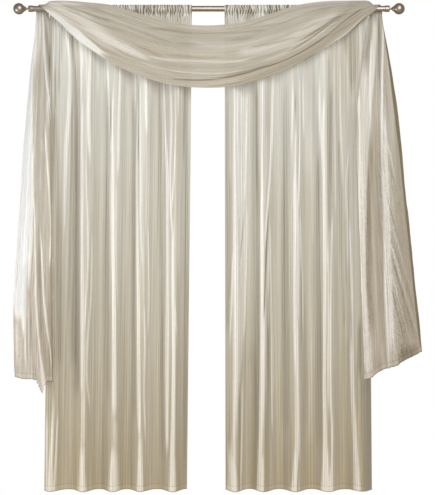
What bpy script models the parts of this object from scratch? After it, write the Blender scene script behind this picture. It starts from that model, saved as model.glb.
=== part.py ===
"""A pair of sheer rod-pocket curtains and a scarf valance on one finial rod.

Metres, +Z up. The origin is on the rod's axis at its middle. +X runs along the rod
to the right, and -Y points into the room, towards whoever looks at the curtains.
"""

import math
from typing import NamedTuple

import bmesh
import bpy
import numpy as np

# Rod, end caps and finials
ROD_RADIUS = 0.0125
ROD_WALL = 0.0012
ROD_HALF_LENGTH = 0.793
METAL_SIDES = 24
FIT_GAP = 0.0003
CAP_RADIUS = 0.0142
CAP_INNER_END = 0.776
CAP_OUTER_END = 0.796
NECK_RADIUS = 0.0037
NECK_FOOT_RADIUS = 0.0065
BALL_RADIUS = 0.025
BALL_CENTRE = 0.838
BALL_RINGS = 9
BALL_START_ANGLE = 0.62  # radians from the axis where the cone meets the ball

# Curtain panels
PANEL_THICKNESS = 0.0015
PANEL_COLUMNS = 60
HEM_HEIGHT = -2.125
STITCH_HEIGHT = -0.022  # the seam under the rod that closes the pocket
POCKET_FLOOR = -0.0185  # the lowest point inside the pocket, just above the seam
POCKET_HALF_ARC = math.radians(130)
POCKET_POINTS = 5
POCKET_RADIUS = (ROD_RADIUS + FIT_GAP) / math.cos(POCKET_HALF_ARC / (POCKET_POINTS - 1))
POCKET_SLACK = 0.005  # how far every other gather stands off the rod's front and back
CREST_SLACK = 0.3  # share of the slack that is left over the top of the rod
GATHER_DEPTH = 0.0035
GATHER_END = -0.16  # where the gathers have opened into the main folds
FOLD_START = 0.12  # share of a fold's depth just under the pocket
FOLD_FULL_DROP = 0.55  # how far down a fold reaches its whole depth
FOLD_PITCH = 0.128
RIDGE_SHARPNESS = 1.3  # above 1, ridges are narrower than the hollows between them
PANEL_LEVELS = (-0.022, -0.050, -0.095, -0.160, -0.280, -0.480, -0.850, -1.300, -1.750, -2.125)

# Scarf
SCARF_THICKNESS = 0.0011
SCARF_COLUMNS = 28
CREASE_FADE = 0.07  # how far from its ends a crease takes to reach its whole height
WRAP_RADIUS = 0.0172  # middle of the pleats where they pass over the rod
WRAP_PLEAT = 0.0050
CORNER_SHARE = 0.29  # where across the left tail its lowest corner hangs, from the inner edge
CORNER_HALF_WIDTH = 0.12
CORNER_DROP = 0.058


class Fold(NamedTuple):
    """One forward fold of a panel: where its ridge stands at the hem, and half its depth."""

    ridge: float
    depth: float


class Panel(NamedTuple):
    """One panel: its two ends along the rod and at the hem, and its folds from left to right."""

    name: str
    heading: tuple
    hem: tuple
    folds: tuple


class Turn(NamedTuple):
    """The top of a ridge or the floor of a hollow that runs along the scarf.

    share is its place across the scarf from the inner edge, and height its share of the
    folds' depth, measured away from the rod.
    """

    share: float
    height: float


class Crease(NamedTuple):
    """A soft ridge along the scarf, or with a height below zero a trough.

    line holds (place, share) points. The place is z on the tails and x on the swag, and the
    share runs across from the inner edge. height is towards the room, as a share of the
    folds' depth. widths are the half widths on the inner and on the outer side, as shares.
    """

    line: tuple
    height: float
    widths: tuple


class Section(NamedTuple):
    """One cut across the scarf.

    outer is the edge that is the swag's lower one and lies at the outside of both tails,
    and inner is the other edge. bulge is how far the middle stands out from the line
    between them, depth is the folds' depth, and steps is how many strips lead on to the
    next section.
    """

    outer: tuple
    inner: tuple
    bulge: float
    depth: float
    steps: int


PANELS = (
    Panel(
        name="panel_left",
        heading=(-0.7035, -0.0755),
        hem=(-0.7265, -0.098),
        folds=(
            Fold(ridge=-0.697, depth=0.026),
            Fold(ridge=-0.551, depth=0.037),
            Fold(ridge=-0.423, depth=0.034),
            Fold(ridge=-0.304, depth=0.031),
            Fold(ridge=-0.158, depth=0.038),
        ),
    ),
    Panel(
        name="panel_right",
        heading=(0.0688, 0.7045),
        hem=(0.0732, 0.721),
        folds=(
            Fold(ridge=0.116, depth=0.038),
            Fold(ridge=0.241, depth=0.035),
            Fold(ridge=0.381, depth=0.036),
            Fold(ridge=0.526, depth=0.034),
            Fold(ridge=0.680, depth=0.027),
        ),
    ),
)

LEFT_TURNS = (
    Turn(0.00, -0.5),
    Turn(0.07, 0.3),
    Turn(0.20, -0.3),
    Turn(0.34, 0.3),
    Turn(0.45, -0.2),
    Turn(0.57, 0.4),
    Turn(0.75, -0.2),
    Turn(1.00, 0.5),
)
SWAG_TURNS = (
    Turn(0.00, -0.3),
    Turn(0.06, 0.5),
    Turn(0.13, -0.7),
    Turn(0.22, 0.3),
    Turn(0.29, -0.3),
    Turn(0.38, 0.6),
    Turn(0.50, -0.6),
    Turn(0.58, 0.6),
    Turn(0.68, -0.3),
    Turn(0.76, 0.5),
    Turn(0.84, -0.7),
    Turn(0.92, 0.6),
    Turn(1.00, -0.8),
)
RIGHT_TURNS = (
    Turn(0.00, -0.2),
    Turn(0.07, -0.5),
    Turn(0.25, 0.3),
    Turn(0.42, 0.5),
    Turn(0.52, -0.4),
    Turn(0.70, 0.1),
    Turn(0.82, -0.1),
    Turn(1.00, 0.4),
)

LEFT_CREASES = (
    Crease(((-1.80, 0.62), (-1.00, 0.66), (-0.76, 0.66), (-0.51, 0.75), (0.0, 0.84)), 0.55, (0.05, 0.30)),
    Crease(((-1.75, 0.25), (-1.59, 0.36), (-1.28, 0.47), (-1.0, 0.58), (-0.90, 0.60)), 0.55, (0.04, 0.07)),
    Crease(((-0.52, -0.01), (-0.45, 0.02), (-0.31, 0.13), (-0.14, 0.32), (-0.02, 0.47)), 0.45, (0.06, 0.05)),
)
SWAG_CREASES = (
    Crease(((-0.43, 0.20), (-0.17, 0.13), (0.12, 0.12), (0.18, 0.09), (0.45, 0.21)), -0.5, (0.03, 0.04)),
    Crease(((-0.40, 0.52), (-0.26, 0.56), (-0.11, 0.57), (0.09, 0.57), (0.22, 0.56)), 0.6, (0.03, 0.04)),
    Crease(
        ((-0.26, 0.88), (0.05, 0.83), (0.34, 0.82), (0.49, 0.69), (0.65, 0.49), (0.74, 0.25)),
        -0.7,
        (0.03, 0.03),
    ),
    Crease(((0.24, 0.55), (0.34, 0.52), (0.42, 0.47), (0.51, 0.39), (0.66, 0.22)), 0.35, (0.05, 0.05)),
)
RIGHT_CREASES = (
    Crease(((-1.80, 0.06), (-1.00, 0.07), (-0.51, 0.10), (-0.31, 0.15), (-0.05, 0.09)), 0.55, (0.05, 0.12)),
    Crease(
        ((-1.80, 0.415), (-1.26, 0.42), (-0.88, 0.48), (-0.62, 0.54), (-0.40, 0.66), (0.0, 0.84)),
        0.75,
        (0.03, 0.18),
    ),
    Crease(
        ((-1.80, 0.36), (-1.26, 0.37), (-0.88, 0.42), (-0.62, 0.48), (-0.40, 0.59), (0.0, 0.76)),
        -0.4,
        (0.14, 0.03),
    ),
)


def over_rod(outer_x, outer_degrees, inner_x, inner_degrees, steps=1):
    """A section where the scarf lies on the rod, from 0 degrees in front to 180 behind."""
    edges = []
    for x, degrees in ((outer_x, outer_degrees), (inner_x, inner_degrees)):
        angle = math.radians(degrees)
        edges.append((x, -WRAP_RADIUS * math.cos(angle), WRAP_RADIUS * math.sin(angle)))
    half_turn = math.radians(abs(outer_degrees - inner_degrees)) / 2
    return Section(*edges, WRAP_RADIUS * (1 - math.cos(half_turn)), WRAP_PLEAT, steps)


LEFT_TAIL = (
    Section((-0.862, 0.012, -1.625), (-0.675, -0.084, -1.637), -0.006, 0.022, 2),
    Section((-0.870, 0.010, -1.373), (-0.676, -0.083, -1.378), -0.006, 0.021, 3),
    Section((-0.838, 0.006, -0.875), (-0.686, -0.078, -0.880), -0.005, 0.018, 3),
    Section((-0.796, 0.006, -0.400), (-0.701, -0.055, -0.400), -0.004, 0.012, 1),
    Section((-0.786, 0.010, -0.290), (-0.703, -0.042, -0.290), -0.002, 0.010, 1),
    Section((-0.777, 0.014, -0.190), (-0.704, -0.030, -0.190), 0.0, 0.008, 1),
    Section((-0.770, 0.018, -0.105), (-0.705, -0.0185, -0.105), 0.0, 0.006, 1),
    Section((-0.767, 0.020, -0.060), (-0.7060, -0.0105, -0.060), 0.0, 0.005, 1),
    Section((-0.765, 0.020, -0.030), (-0.7065, 0.0035, -0.032), 0.0, 0.0045, 1),
)
LEFT_WRAP = (
    over_rod(-0.7645, 190, -0.7068, 212),
    over_rod(-0.763, 178, -0.707, 184),
    over_rod(-0.760, 150, -0.708, 152),
    over_rod(-0.755, 117, -0.708, 126),
    over_rod(-0.749, 84, -0.708, 102),
    over_rod(-0.743, 52, -0.707, 82, steps=2),
)
SWAG = (
    Section((-0.735, -0.022, 0.002), (-0.702, -0.019, 0.026), 0.002, 0.004, 2),
    Section((-0.709, -0.032, -0.022), (-0.676, -0.032, 0.029), 0.002, 0.004, 1),
    Section((-0.666, -0.040, -0.058), (-0.631, -0.038, 0.028), 0.004, 0.005, 2),
    Section((-0.582, -0.046, -0.139), (-0.534, -0.039, 0.021), 0.008, 0.006, 2),
    Section((-0.450, -0.053, -0.232), (-0.423, -0.040, 0.008), 0.012, 0.007, 2),
    Section((-0.326, -0.057, -0.293), (-0.304, -0.042, -0.030), 0.015, 0.007, 2),
    Section((-0.192, -0.060, -0.336), (-0.185, -0.044, -0.064), 0.017, 0.007, 2),
    Section((0.000, -0.061, -0.356), (0.000, -0.045, -0.081), 0.018, 0.007, 2),
    Section((0.172, -0.060, -0.336), (0.168, -0.044, -0.062), 0.017, 0.007, 2),
    Section((0.282, -0.057, -0.296), (0.269, -0.042, -0.030), 0.015, 0.007, 2),
    Section((0.419, -0.053, -0.233), (0.388, -0.040, 0.009), 0.012, 0.007, 2),
    Section((0.542, -0.047, -0.158), (0.512, -0.039, 0.026), 0.008, 0.006, 2),
    Section((0.631, -0.041, -0.099), (0.609, -0.038, 0.029), 0.004, 0.005, 2),
    Section((0.680, -0.037, -0.055), (0.662, -0.036, 0.030), 0.002, 0.0045, 1),
    Section((0.712, -0.033, -0.028), (0.692, -0.033, 0.030), 0.002, 0.004, 2),
    Section((0.737, -0.023, -0.004), (0.707, -0.020, 0.026), 0.002, 0.004, 2),
)
RIGHT_WRAP = (
    over_rod(0.747, 50, 0.7085, 80),
    over_rod(0.754, 82, 0.709, 102),
    over_rod(0.759, 116, 0.709, 126),
    over_rod(0.763, 150, 0.709, 152),
    over_rod(0.765, 178, 0.708, 184),
    over_rod(0.766, 190, 0.7076, 212),
)
RIGHT_TAIL = (
    Section((0.768, 0.020, -0.030), (0.7074, 0.0035, -0.032), 0.0, 0.0045, 1),
    Section((0.772, 0.020, -0.060), (0.7072, -0.0125, -0.060), 0.0, 0.005, 1),
    Section((0.779, 0.019, -0.105), (0.700, -0.0235, -0.105), 0.0, 0.006, 1),
    Section((0.793, 0.014, -0.190), (0.684, -0.034, -0.190), 0.0, 0.008, 1),
    Section((0.808, 0.009, -0.290), (0.670, -0.047, -0.290), -0.002, 0.011, 1),
    Section((0.825, 0.006, -0.400), (0.657, -0.059, -0.400), -0.004, 0.014, 3),
    Section((0.878, 0.006, -0.875), (0.656, -0.080, -0.880), -0.005, 0.020, 2),
    Section((0.918, 0.010, -1.205), (0.667, -0.083, -1.260), -0.006, 0.023, 2),
    Section((0.947, 0.012, -1.512), (0.680, -0.085, -1.628), -0.006, 0.025, 0),
)


def painted(name, colour, roughness, metallic=0.0):
    """A plain material of one colour."""
    material = bpy.data.materials.new(name)
    material.use_nodes = True
    shader = material.node_tree.nodes["Principled BSDF"]
    shader.inputs["Base Color"].default_value = (*colour, 1.0)
    shader.inputs["Roughness"].default_value = roughness
    shader.inputs["Metallic"].default_value = metallic
    return material


def finished(name, mesh, material, smooth_below=None):
    """The object made from a closed mesh, with its faces turned outwards."""
    bmesh.ops.recalc_face_normals(mesh, faces=mesh.faces)
    data = bpy.data.meshes.new(name)
    mesh.to_mesh(data)
    mesh.free()
    data.materials.append(material)
    if smooth_below is not None:
        data.shade_smooth()
        data.set_sharp_from_angle(angle=smooth_below)
    piece = bpy.data.objects.new(name, data)
    bpy.context.scene.collection.objects.link(piece)
    return piece


def turned(name, profile, material, closed=False):
    """A piece turned about the rod's axis from (x, radius) points."""
    mesh = bmesh.new()
    points = [mesh.verts.new((x, 0.0, radius)) for x, radius in profile]
    pairs = list(zip(points, points[1:]))
    if closed:
        pairs.append((points[-1], points[0]))
    edges = [mesh.edges.new(pair) for pair in pairs]
    bmesh.ops.spin(
        mesh,
        geom=points + edges,
        cent=(0.0, 0.0, 0.0),
        axis=(1.0, 0.0, 0.0),
        angle=2 * math.pi,
        steps=METAL_SIDES,
        use_merge=True,
    )
    bmesh.ops.remove_doubles(mesh, verts=mesh.verts, dist=1e-6)
    return finished(name, mesh, material, smooth_below=math.radians(35))


def build_rod(metal):
    """The tube that carries the cloth."""
    bore = ROD_RADIUS - ROD_WALL
    profile = (
        (-ROD_HALF_LENGTH, bore),
        (-ROD_HALF_LENGTH, ROD_RADIUS),
        (ROD_HALF_LENGTH, ROD_RADIUS),
        (ROD_HALF_LENGTH, bore),
    )
    turned("rod", profile, metal, closed=True)


def build_end_cap(side_name, side, metal):
    """The collar that covers one end of the tube."""
    socket = ROD_RADIUS + FIT_GAP
    socket_floor = ROD_HALF_LENGTH + FIT_GAP
    rounding = 0.001
    profile = (
        (socket_floor, 0.0),
        (socket_floor, socket),
        (CAP_INNER_END, socket),
        (CAP_INNER_END, CAP_RADIUS - rounding),
        (CAP_INNER_END + rounding, CAP_RADIUS),
        (CAP_OUTER_END - rounding, CAP_RADIUS),
        (CAP_OUTER_END, CAP_RADIUS - rounding),
        (CAP_OUTER_END, 0.0),
    )
    turned(f"end_cap_{side_name}", [(side * x, radius) for x, radius in profile], metal)


def build_finial(side_name, side, metal):
    """The ball on its tapered neck, which stands on the end cap."""
    foot = CAP_OUTER_END + FIT_GAP
    profile = [
        (foot, 0.0),
        (foot, NECK_FOOT_RADIUS),
        (foot + 0.0015, NECK_FOOT_RADIUS),
        (foot + 0.0035, NECK_RADIUS),
        (foot + 0.0065, NECK_RADIUS),
        (foot + 0.0115, 0.0075),
    ]
    for ring in range(BALL_RINGS + 1):
        turn = BALL_START_ANGLE + (math.pi - BALL_START_ANGLE) * ring / BALL_RINGS
        radius = BALL_RADIUS * math.sin(turn) if ring < BALL_RINGS else 0.0
        profile.append((BALL_CENTRE - BALL_RADIUS * math.cos(turn), radius))
    turned(f"finial_{side_name}", [(side * x, radius) for x, radius in profile], metal)


def ease(value):
    """A share from 0 to 1 that starts and ends gently."""
    value = np.clip(value, 0.0, 1.0)
    return value * value * (3 - 2 * value)


def fold_line(hem_x, folds):
    """How far the cloth stands from the rod's plane where the folds have their whole depth."""
    ridges = np.array([fold.ridge for fold in folds])
    depths = np.array([fold.depth for fold in folds])
    stops = np.concatenate(([ridges[0] - FOLD_PITCH], ridges, [ridges[-1] + FOLD_PITCH]))
    turns = np.interp(hem_x, stops, np.arange(-1, len(ridges) + 1))
    crest = np.cos(np.pi * turns) ** 2
    return np.interp(hem_x, ridges, depths) * (1 - 2 * crest**RIDGE_SHARPNESS)


def panel_levels(panel):
    """Plan points of the cloth's middle at each level, as x and y arrays of level by column."""
    share = np.linspace(0.0, 1.0, PANEL_COLUMNS + 1)
    heading_x = panel.heading[0] + share * (panel.heading[1] - panel.heading[0])
    hem_x = panel.hem[0] + share * (panel.hem[1] - panel.hem[0])
    folds = fold_line(hem_x, panel.folds)
    gathers = np.where(np.arange(PANEL_COLUMNS + 1) % 2, 1.0, -1.0)
    xs = []
    ys = []
    for level in PANEL_LEVELS:
        drop = (level - STITCH_HEIGHT) / (HEM_HEIGHT - STITCH_HEIGHT)
        opened = ease((STITCH_HEIGHT - level) / FOLD_FULL_DROP)
        gathered = 1 - ease((STITCH_HEIGHT - level) / (STITCH_HEIGHT - GATHER_END))
        xs.append(heading_x + drop * (hem_x - heading_x))
        ys.append(folds * (FOLD_START + (1 - FOLD_START) * opened) + GATHER_DEPTH * gathered * gathers)
    return np.array(xs), np.array(ys)


def panel_loops(panel):
    """For each column, the outer loop of the cloth's cut edge and the loop inside the pocket.

    The outer loop runs up the front from the hem, round the rod and down the back. Its
    pocket part has the same number of points as the inner loop, which starts and ends at
    the pocket's floor.
    """
    xs, ys = panel_levels(panel)
    slope = np.gradient(ys, axis=1) / np.gradient(xs, axis=1)
    length = np.sqrt(1 + slope**2)
    shift_x = -slope / length * PANEL_THICKNESS / 2
    shift_y = 1 / length * PANEL_THICKNESS / 2
    angles = np.linspace(-POCKET_HALF_ARC, POCKET_HALF_ARC, POCKET_POINTS)
    columns = []
    for column in range(PANEL_COLUMNS + 1):
        x = xs[0, column]
        front = []
        back = []
        for level, height in enumerate(PANEL_LEVELS):
            middle = np.array([xs[level, column], ys[level, column]])
            shift = np.array([shift_x[level, column], shift_y[level, column]])
            front.append((*(middle - shift), height))
            back.append((*(middle + shift), height))
        round_inside = []
        round_outside = []
        for angle in angles:
            slack = POCKET_SLACK * (CREST_SLACK + (1 - CREST_SLACK) * abs(math.sin(angle)))
            inside = POCKET_RADIUS + slack * (column % 2)
            outside = inside + PANEL_THICKNESS
            round_inside.append((x, inside * math.sin(angle), inside * math.cos(angle)))
            round_outside.append((x, outside * math.sin(angle), outside * math.cos(angle)))
        outer = front[::-1] + round_outside + back
        floor = (x, ys[0, column], POCKET_FLOOR)
        columns.append((outer, [floor] + round_inside + [floor]))
    return columns


def build_panel(panel, cloth):
    """One gathered panel with its rod pocket, as a closed sheet."""
    mesh = bmesh.new()
    outer_loops = []
    inner_loops = []
    for outer, inner in panel_loops(panel):
        outer_loops.append([mesh.verts.new(point) for point in outer])
        ring = [mesh.verts.new(point) for point in inner[:-1]]
        inner_loops.append(ring + ring[:1])
    levels = len(PANEL_LEVELS)
    around = len(inner_loops[0])
    first = levels - 1  # the outer loop's point that faces the inner loop's first one

    def strip(near, far, count, falling):
        for index in range(count):
            a, b = near[index], near[(index + 1) % len(near)]
            c, d = far[(index + 1) % len(far)], far[index]
            if falling(index):
                mesh.faces.new((a, b, d))
                mesh.faces.new((b, c, d))
            else:
                mesh.faces.new((a, b, c))
                mesh.faces.new((a, c, d))

    middle = first + around / 2
    for near, far in zip(outer_loops, outer_loops[1:]):
        strip(near, far, len(near), lambda index: index + 0.5 > middle)
    for near, far in zip(inner_loops, inner_loops[1:]):
        strip(near, far, around - 1, lambda index: index + first + 0.5 > middle)
    for outer, inner in ((outer_loops[0], inner_loops[0]), (outer_loops[-1], inner_loops[-1])):
        for index in range(around - 1):
            corners = [outer[first + index], outer[first + index + 1], inner[index + 1], inner[index]]
            mesh.faces.new(corners)
        last = first + around - 1
        mesh.faces.new((outer[first], inner[0], outer[last]))
        for index in range(levels - 1):
            mesh.faces.new((outer[index], outer[index + 1], outer[-2 - index], outer[-1 - index]))
    finished(panel.name, mesh, cloth)


def smooth_curve(at, stops, values):
    """Values on a smooth curve through the ones given at rising stops."""
    stops = np.asarray(stops, dtype=float)
    values = np.asarray(values, dtype=float).reshape(len(stops), -1)
    spans = np.diff(stops)[:, None]
    rates = np.diff(values, axis=0) / spans
    inside = (rates[:-1] * spans[1:] + rates[1:] * spans[:-1]) / (spans[:-1] + spans[1:])
    slopes = np.vstack((rates[:1], inside, rates[-1:]))
    at = np.clip(at, stops[0], stops[-1])
    index = np.clip(np.searchsorted(stops, at, side="right") - 1, 0, len(spans) - 1)
    span = spans[index]
    s = (at[:, None] - stops[index, None]) / span
    return (
        (2 * s**3 - 3 * s**2 + 1) * values[index]
        + (s**3 - 2 * s**2 + s) * span * slopes[index]
        + (3 * s**2 - 2 * s**3) * values[index + 1]
        + (s**3 - s**2) * span * slopes[index + 1]
    )


def stations():
    """Rows of numbers along the scarf, on smooth curves through every section.

    The last number says whose folds a row has: 0 the left tail's, 1 the swag's, 2 the
    right tail's, and over the rod a share of both.
    """
    sections = LEFT_TAIL + LEFT_WRAP + SWAG + RIGHT_WRAP + RIGHT_TAIL
    parts = [0.0] * len(LEFT_TAIL)
    parts += np.linspace(0.0, 1.0, len(LEFT_WRAP)).tolist()
    parts += [1.0] * len(SWAG)
    parts += np.linspace(1.0, 2.0, len(RIGHT_WRAP)).tolist()
    parts += [2.0] * len(RIGHT_TAIL)
    knots = np.array(
        [(*row.outer, *row.inner, row.bulge, row.depth, part) for row, part in zip(sections, parts)]
    )
    middles = (knots[:, 0:3] + knots[:, 3:6]) / 2
    spans = np.linalg.norm(np.diff(middles, axis=0), axis=1)
    stops = np.concatenate(([0.0], np.cumsum(spans)))
    places = []
    for section, start, end in zip(sections, stops, stops[1:]):
        places += np.linspace(start, end, section.steps, endpoint=False).tolist()
    return smooth_curve(np.array(places + [stops[-1]]), stops, knots)


def fold_waves(across, part):
    """The height of the folds at each share across the scarf, for each row."""
    waves = []
    for turns in (LEFT_TURNS, SWAG_TURNS, RIGHT_TURNS):
        shares = np.array([turn.share for turn in turns])
        heights = np.array([turn.height for turn in turns])
        last = np.clip(np.searchsorted(shares, across, side="right") - 1, 0, len(turns) - 2)
        step = ease((across - shares[last]) / (shares[last + 1] - shares[last]))
        waves.append(heights[last] * (1 - step) + heights[last + 1] * step)
    waves = np.array(waves)
    part = np.clip(part, 0.0, 2.0)
    first = np.minimum(part.astype(int), 1)
    share = (part - first)[:, None]
    return waves[first] * (1 - share) + waves[first + 1] * share


def creased(place, across, creases):
    """The height that creases give to each row and column of the scarf."""
    height = np.zeros((len(place), len(across)))
    for crease in creases:
        places, shares = zip(*crease.line)
        away = across[None, :] - smooth_curve(place, places, shares)
        width = np.where(away < 0, *crease.widths)
        inside = ease((place - places[0]) / CREASE_FADE) * ease((places[-1] - place) / CREASE_FADE)
        height += crease.height * np.exp(-((away / width) ** 2)) * inside[:, None]
    return height


def grid_normals(points):
    """Unit normals of a grid of points, which face outwards where the scarf wraps the rod."""
    normals = np.cross(np.gradient(points, axis=1), np.gradient(points, axis=0))
    return normals / np.linalg.norm(normals, axis=2, keepdims=True)


def scarf_middle():
    """The folded sheet's middle, as a grid of station by column."""
    rows = stations()
    across = np.linspace(0.0, 1.0, SCARF_COLUMNS + 1)
    outer = rows[:, None, 0:3]
    inner = rows[:, None, 3:6]
    flat = inner + (outer - inner) * across[None, :, None]
    crown = (4 * across * (1 - across))[None, :] * rows[:, 6:7]
    depth = rows[:, 7:8]
    part = rows[:, 8]
    middle = (rows[:, 0:3] + rows[:, 3:6]) / 2

    lift = fold_waves(across, part)
    tables = ((LEFT_CREASES, 2, -1.0), (SWAG_CREASES, 0, 1.0), (RIGHT_CREASES, 2, -1.0))
    for number, (creases, axis, side) in enumerate(tables):
        weight = np.clip(1 - np.abs(part - number), 0, 1)[:, None]
        lift += weight * side * creased(middle[:, axis], across, creases)
    folded = flat + grid_normals(flat) * (crown + depth * lift)[:, :, None]
    corner = np.maximum(1 - np.abs(across - CORNER_SHARE) / CORNER_HALF_WIDTH, 0)
    folded[0, :, 2] -= CORNER_DROP * corner
    return folded


def build_scarf(cloth):
    """The one long sheet: left tail, swag and right tail."""
    middle = scarf_middle()
    normals = grid_normals(middle)
    across_runs = np.diff(middle, axis=1)
    along = np.gradient(middle, axis=0)
    flats = np.cross(across_runs, (along[:, 1:] + along[:, :-1]) / 2)
    flats /= np.linalg.norm(flats, axis=2, keepdims=True)
    to_next = np.sum(normals[:, :-1] * flats, axis=2)
    to_last = np.sum(normals[:, 1:] * flats, axis=2)
    lean = np.ones(middle.shape[:2])
    lean[:, 1:-1] = (to_next[:, 1:] + to_last[:, :-1]) / 2
    most_stretch = 1.6
    shift = normals * (SCARF_THICKNESS / 2 / np.maximum(lean, 1 / most_stretch))[:, :, None]

    mesh = bmesh.new()
    count, width = middle.shape[:2]
    sides = []
    for grid in (middle + shift, middle - shift):
        sides.append([[mesh.verts.new(point) for point in row] for row in grid.tolist()])
    for side in sides:
        for near, far in zip(side, side[1:]):
            for column in range(width - 1):
                mesh.faces.new((near[column], near[column + 1], far[column + 1]))
                mesh.faces.new((near[column], far[column + 1], far[column]))
    front, back = sides
    rim = [(0, column) for column in range(width)]
    rim += [(row, width - 1) for row in range(1, count)]
    rim += [(count - 1, column) for column in range(width - 2, -1, -1)]
    rim += [(row, 0) for row in range(count - 2, 0, -1)]
    for (row, column), (next_row, next_column) in zip(rim, rim[1:] + rim[:1]):
        a, b = front[row][column], front[next_row][next_column]
        c, d = back[next_row][next_column], back[row][column]
        mesh.faces.new((a, b, c))
        mesh.faces.new((a, c, d))
    finished("scarf", mesh, cloth)


def main():
    for old in list(bpy.data.objects):
        bpy.data.objects.remove(old, do_unlink=True)
    metal = painted("champagne metal", (0.52, 0.44, 0.34), 0.32, metallic=1.0)
    panel_cloth = painted("crinkled sheer", (0.62, 0.57, 0.47), 0.85)
    scarf_cloth = painted("scarf sheer", (0.66, 0.60, 0.51), 0.85)
    build_rod(metal)
    for side_name, side in (("left", -1.0), ("right", 1.0)):
        build_end_cap(side_name, side, metal)
        build_finial(side_name, side, metal)
    for panel in PANELS:
        build_panel(panel, panel_cloth)
    build_scarf(scarf_cloth)


main()
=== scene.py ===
"""Looks of two crinkled sheer curtains under a scarf valance, all on one finial rod.

Metres, +Z up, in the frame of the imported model: the origin is on the rod's axis at its
middle, +X runs along the rod to the right, and -Y points into the room.
"""

import math
from typing import NamedTuple

import bmesh
import bpy
import numpy as np
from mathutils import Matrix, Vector


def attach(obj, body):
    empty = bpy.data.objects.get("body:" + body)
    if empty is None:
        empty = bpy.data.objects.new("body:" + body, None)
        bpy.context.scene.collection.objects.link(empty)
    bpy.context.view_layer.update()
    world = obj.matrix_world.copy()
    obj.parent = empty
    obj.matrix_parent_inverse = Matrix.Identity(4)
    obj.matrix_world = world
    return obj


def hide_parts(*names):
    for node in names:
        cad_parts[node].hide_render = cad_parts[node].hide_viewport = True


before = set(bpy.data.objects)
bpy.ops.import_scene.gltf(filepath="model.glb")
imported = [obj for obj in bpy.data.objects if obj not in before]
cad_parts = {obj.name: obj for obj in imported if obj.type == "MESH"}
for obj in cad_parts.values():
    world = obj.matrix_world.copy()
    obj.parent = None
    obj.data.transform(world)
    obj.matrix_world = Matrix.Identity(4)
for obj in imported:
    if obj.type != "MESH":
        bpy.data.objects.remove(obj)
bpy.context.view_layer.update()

# Rod, end caps and finials
ROD_RADIUS = 0.0125
ROD_WALL = 0.0012
ROD_HALF_LENGTH = 0.793
FIT_GAP = 0.0003
CAP_RADIUS = 0.0142
CAP_INNER_END = 0.776
CAP_OUTER_END = 0.796
CAP_ROUNDING = 0.0012
BALL_RADIUS = 0.025
BALL_CENTRE = 0.838
BALL_RINGS = 26
BALL_START_ANGLE = 0.62  # radians from the axis, where the neck meets the ball
METAL_SIDES = 72
MERGE_DISTANCE = 1e-6
SHARP_ANGLE = math.radians(35)

# The finial's neck from its foot to the ball: how far past the foot, and its radius there
NECK = (
    (0.0, 0.0),
    (0.0, 0.0061),
    (0.0004, 0.0065),
    (0.0014, 0.0065),
    (0.0018, 0.0061),
    (0.0028, 0.0043),
    (0.0040, 0.0037),
    (0.0062, 0.0037),
    (0.0080, 0.0045),
    (0.0115, 0.0075),
)

# Curtain panels
PANEL_FLAT = (1.27, 2.24)  # one panel as cut, before it was gathered
PANEL_COLUMNS = 500
PANEL_ROWS = 165
ROW_CROWDING = 1.25  # above 1, the rows lie closer together towards the heading
HEM_HEIGHT = -2.125
HEM_WIDTH = 0.024
SIDE_HEM_WIDTH = 0.036  # on the flat cloth, which the pleats then draw in
STITCH_HEIGHT = -0.022  # the seam under the rod that closes the pocket
POCKET_HALF_ARC = math.radians(130)
POCKET_ROWS = 14
POCKET_RADIUS = 0.0160
POCKET_SLACK = 0.005
CREST_SLACK = 0.3  # share of the slack that is left over the top of the rod
GATHERS = 54
GATHER_DEPTH = 0.0036
GATHER_UNEVEN = 0.25  # how much deeper than the rest the deepest gather is, as a share
GATHER_WANDER = 0.32  # how far a gather wanders to either side, as a share of the pitch
GATHER_REACH = (0.10, 0.42)  # how far down the shortest and the longest gather run
SLACK_UNEVEN = 0.2  # how much more slack than the rest the loosest gather has, as a share
HEAD_BAND = (-0.10, 0.025)  # heights between which the heading has a pattern of its own
HEAD_REACH = (0.012, 0.060)  # how far below the seam the heading's dark gaps and pale ridges run
HEAD_SWING = 0.5  # how far a heading's ridge swings to either side, as a share of the pitch
HEAD_TONES = (0.05, 0.75, 0.55)  # how pale the heading is, and what its ridges and patches add; the ridges are painted light and the gaps between them painted shade
TURN_IN = (0.0, 0.0015, 0.001)  # the pocket's end lies behind its seam and a little above it
FOLD_START = 0.12  # share of a fold's depth just under the pocket
FOLD_FULL_DROP = 0.55  # how far down a fold reaches its whole depth
FOLD_PITCH = 0.128
RIDGE_SHARPNESS = 1.3  # above 1, ridges are narrower than the hollows between them
PLEAT_START_DROP = 0.3  # how far below the seam the pleats reach their whole relief
PLEAT_LIFT = 0.0032  # how far the palest pleats stand out towards the room
PLEAT_OVERRUN = 0.3  # how far a pleat runs on past its ends, as a share of the fade
PLEAT_FADE = 0.12  # how far from its ends a pleat takes to reach its whole strength
CRISP = 4  # the pleats' edges: a high number gives a flat top and steep sides
SOFT = 2
MILLIMETRE = 0.001
FINE_PLEAT_PITCH = 0.0085
FINE_PLEAT_DEPTH = 0.0020
FINE_PLEAT_WANDER = 1.8  # radians
CRINKLE_DEPTHS = (0.0009, 0.0010)  # of the open cloth, and what tightly bunched cloth adds
PANEL_CRINKLE_SHARES = (0.6, 0.4)  # of the coarse and the fine ones
PANEL_CRINKLE_BEND = 0.004  # how far they bend to either side, as a share of the width
# Painted light and shade: crinkles that stand towards the room are painted paler, and those that fall back
# darker.
CRINKLE_TONE = 0.10
HOLLOW_BUNCHED = 0.12  # how bunched the open cloth between two pleats is
# Painted shade: how much a dark pleat darkens the hollow it lies in.
HOLLOW_TONE = 0.8
PANEL_BARK = 0.25  # how strongly bunched cloth is crinkled slantwise
LOW_CURVE = 1.8  # above 1, the painted shade towards the hem deepens late on its way down
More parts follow.
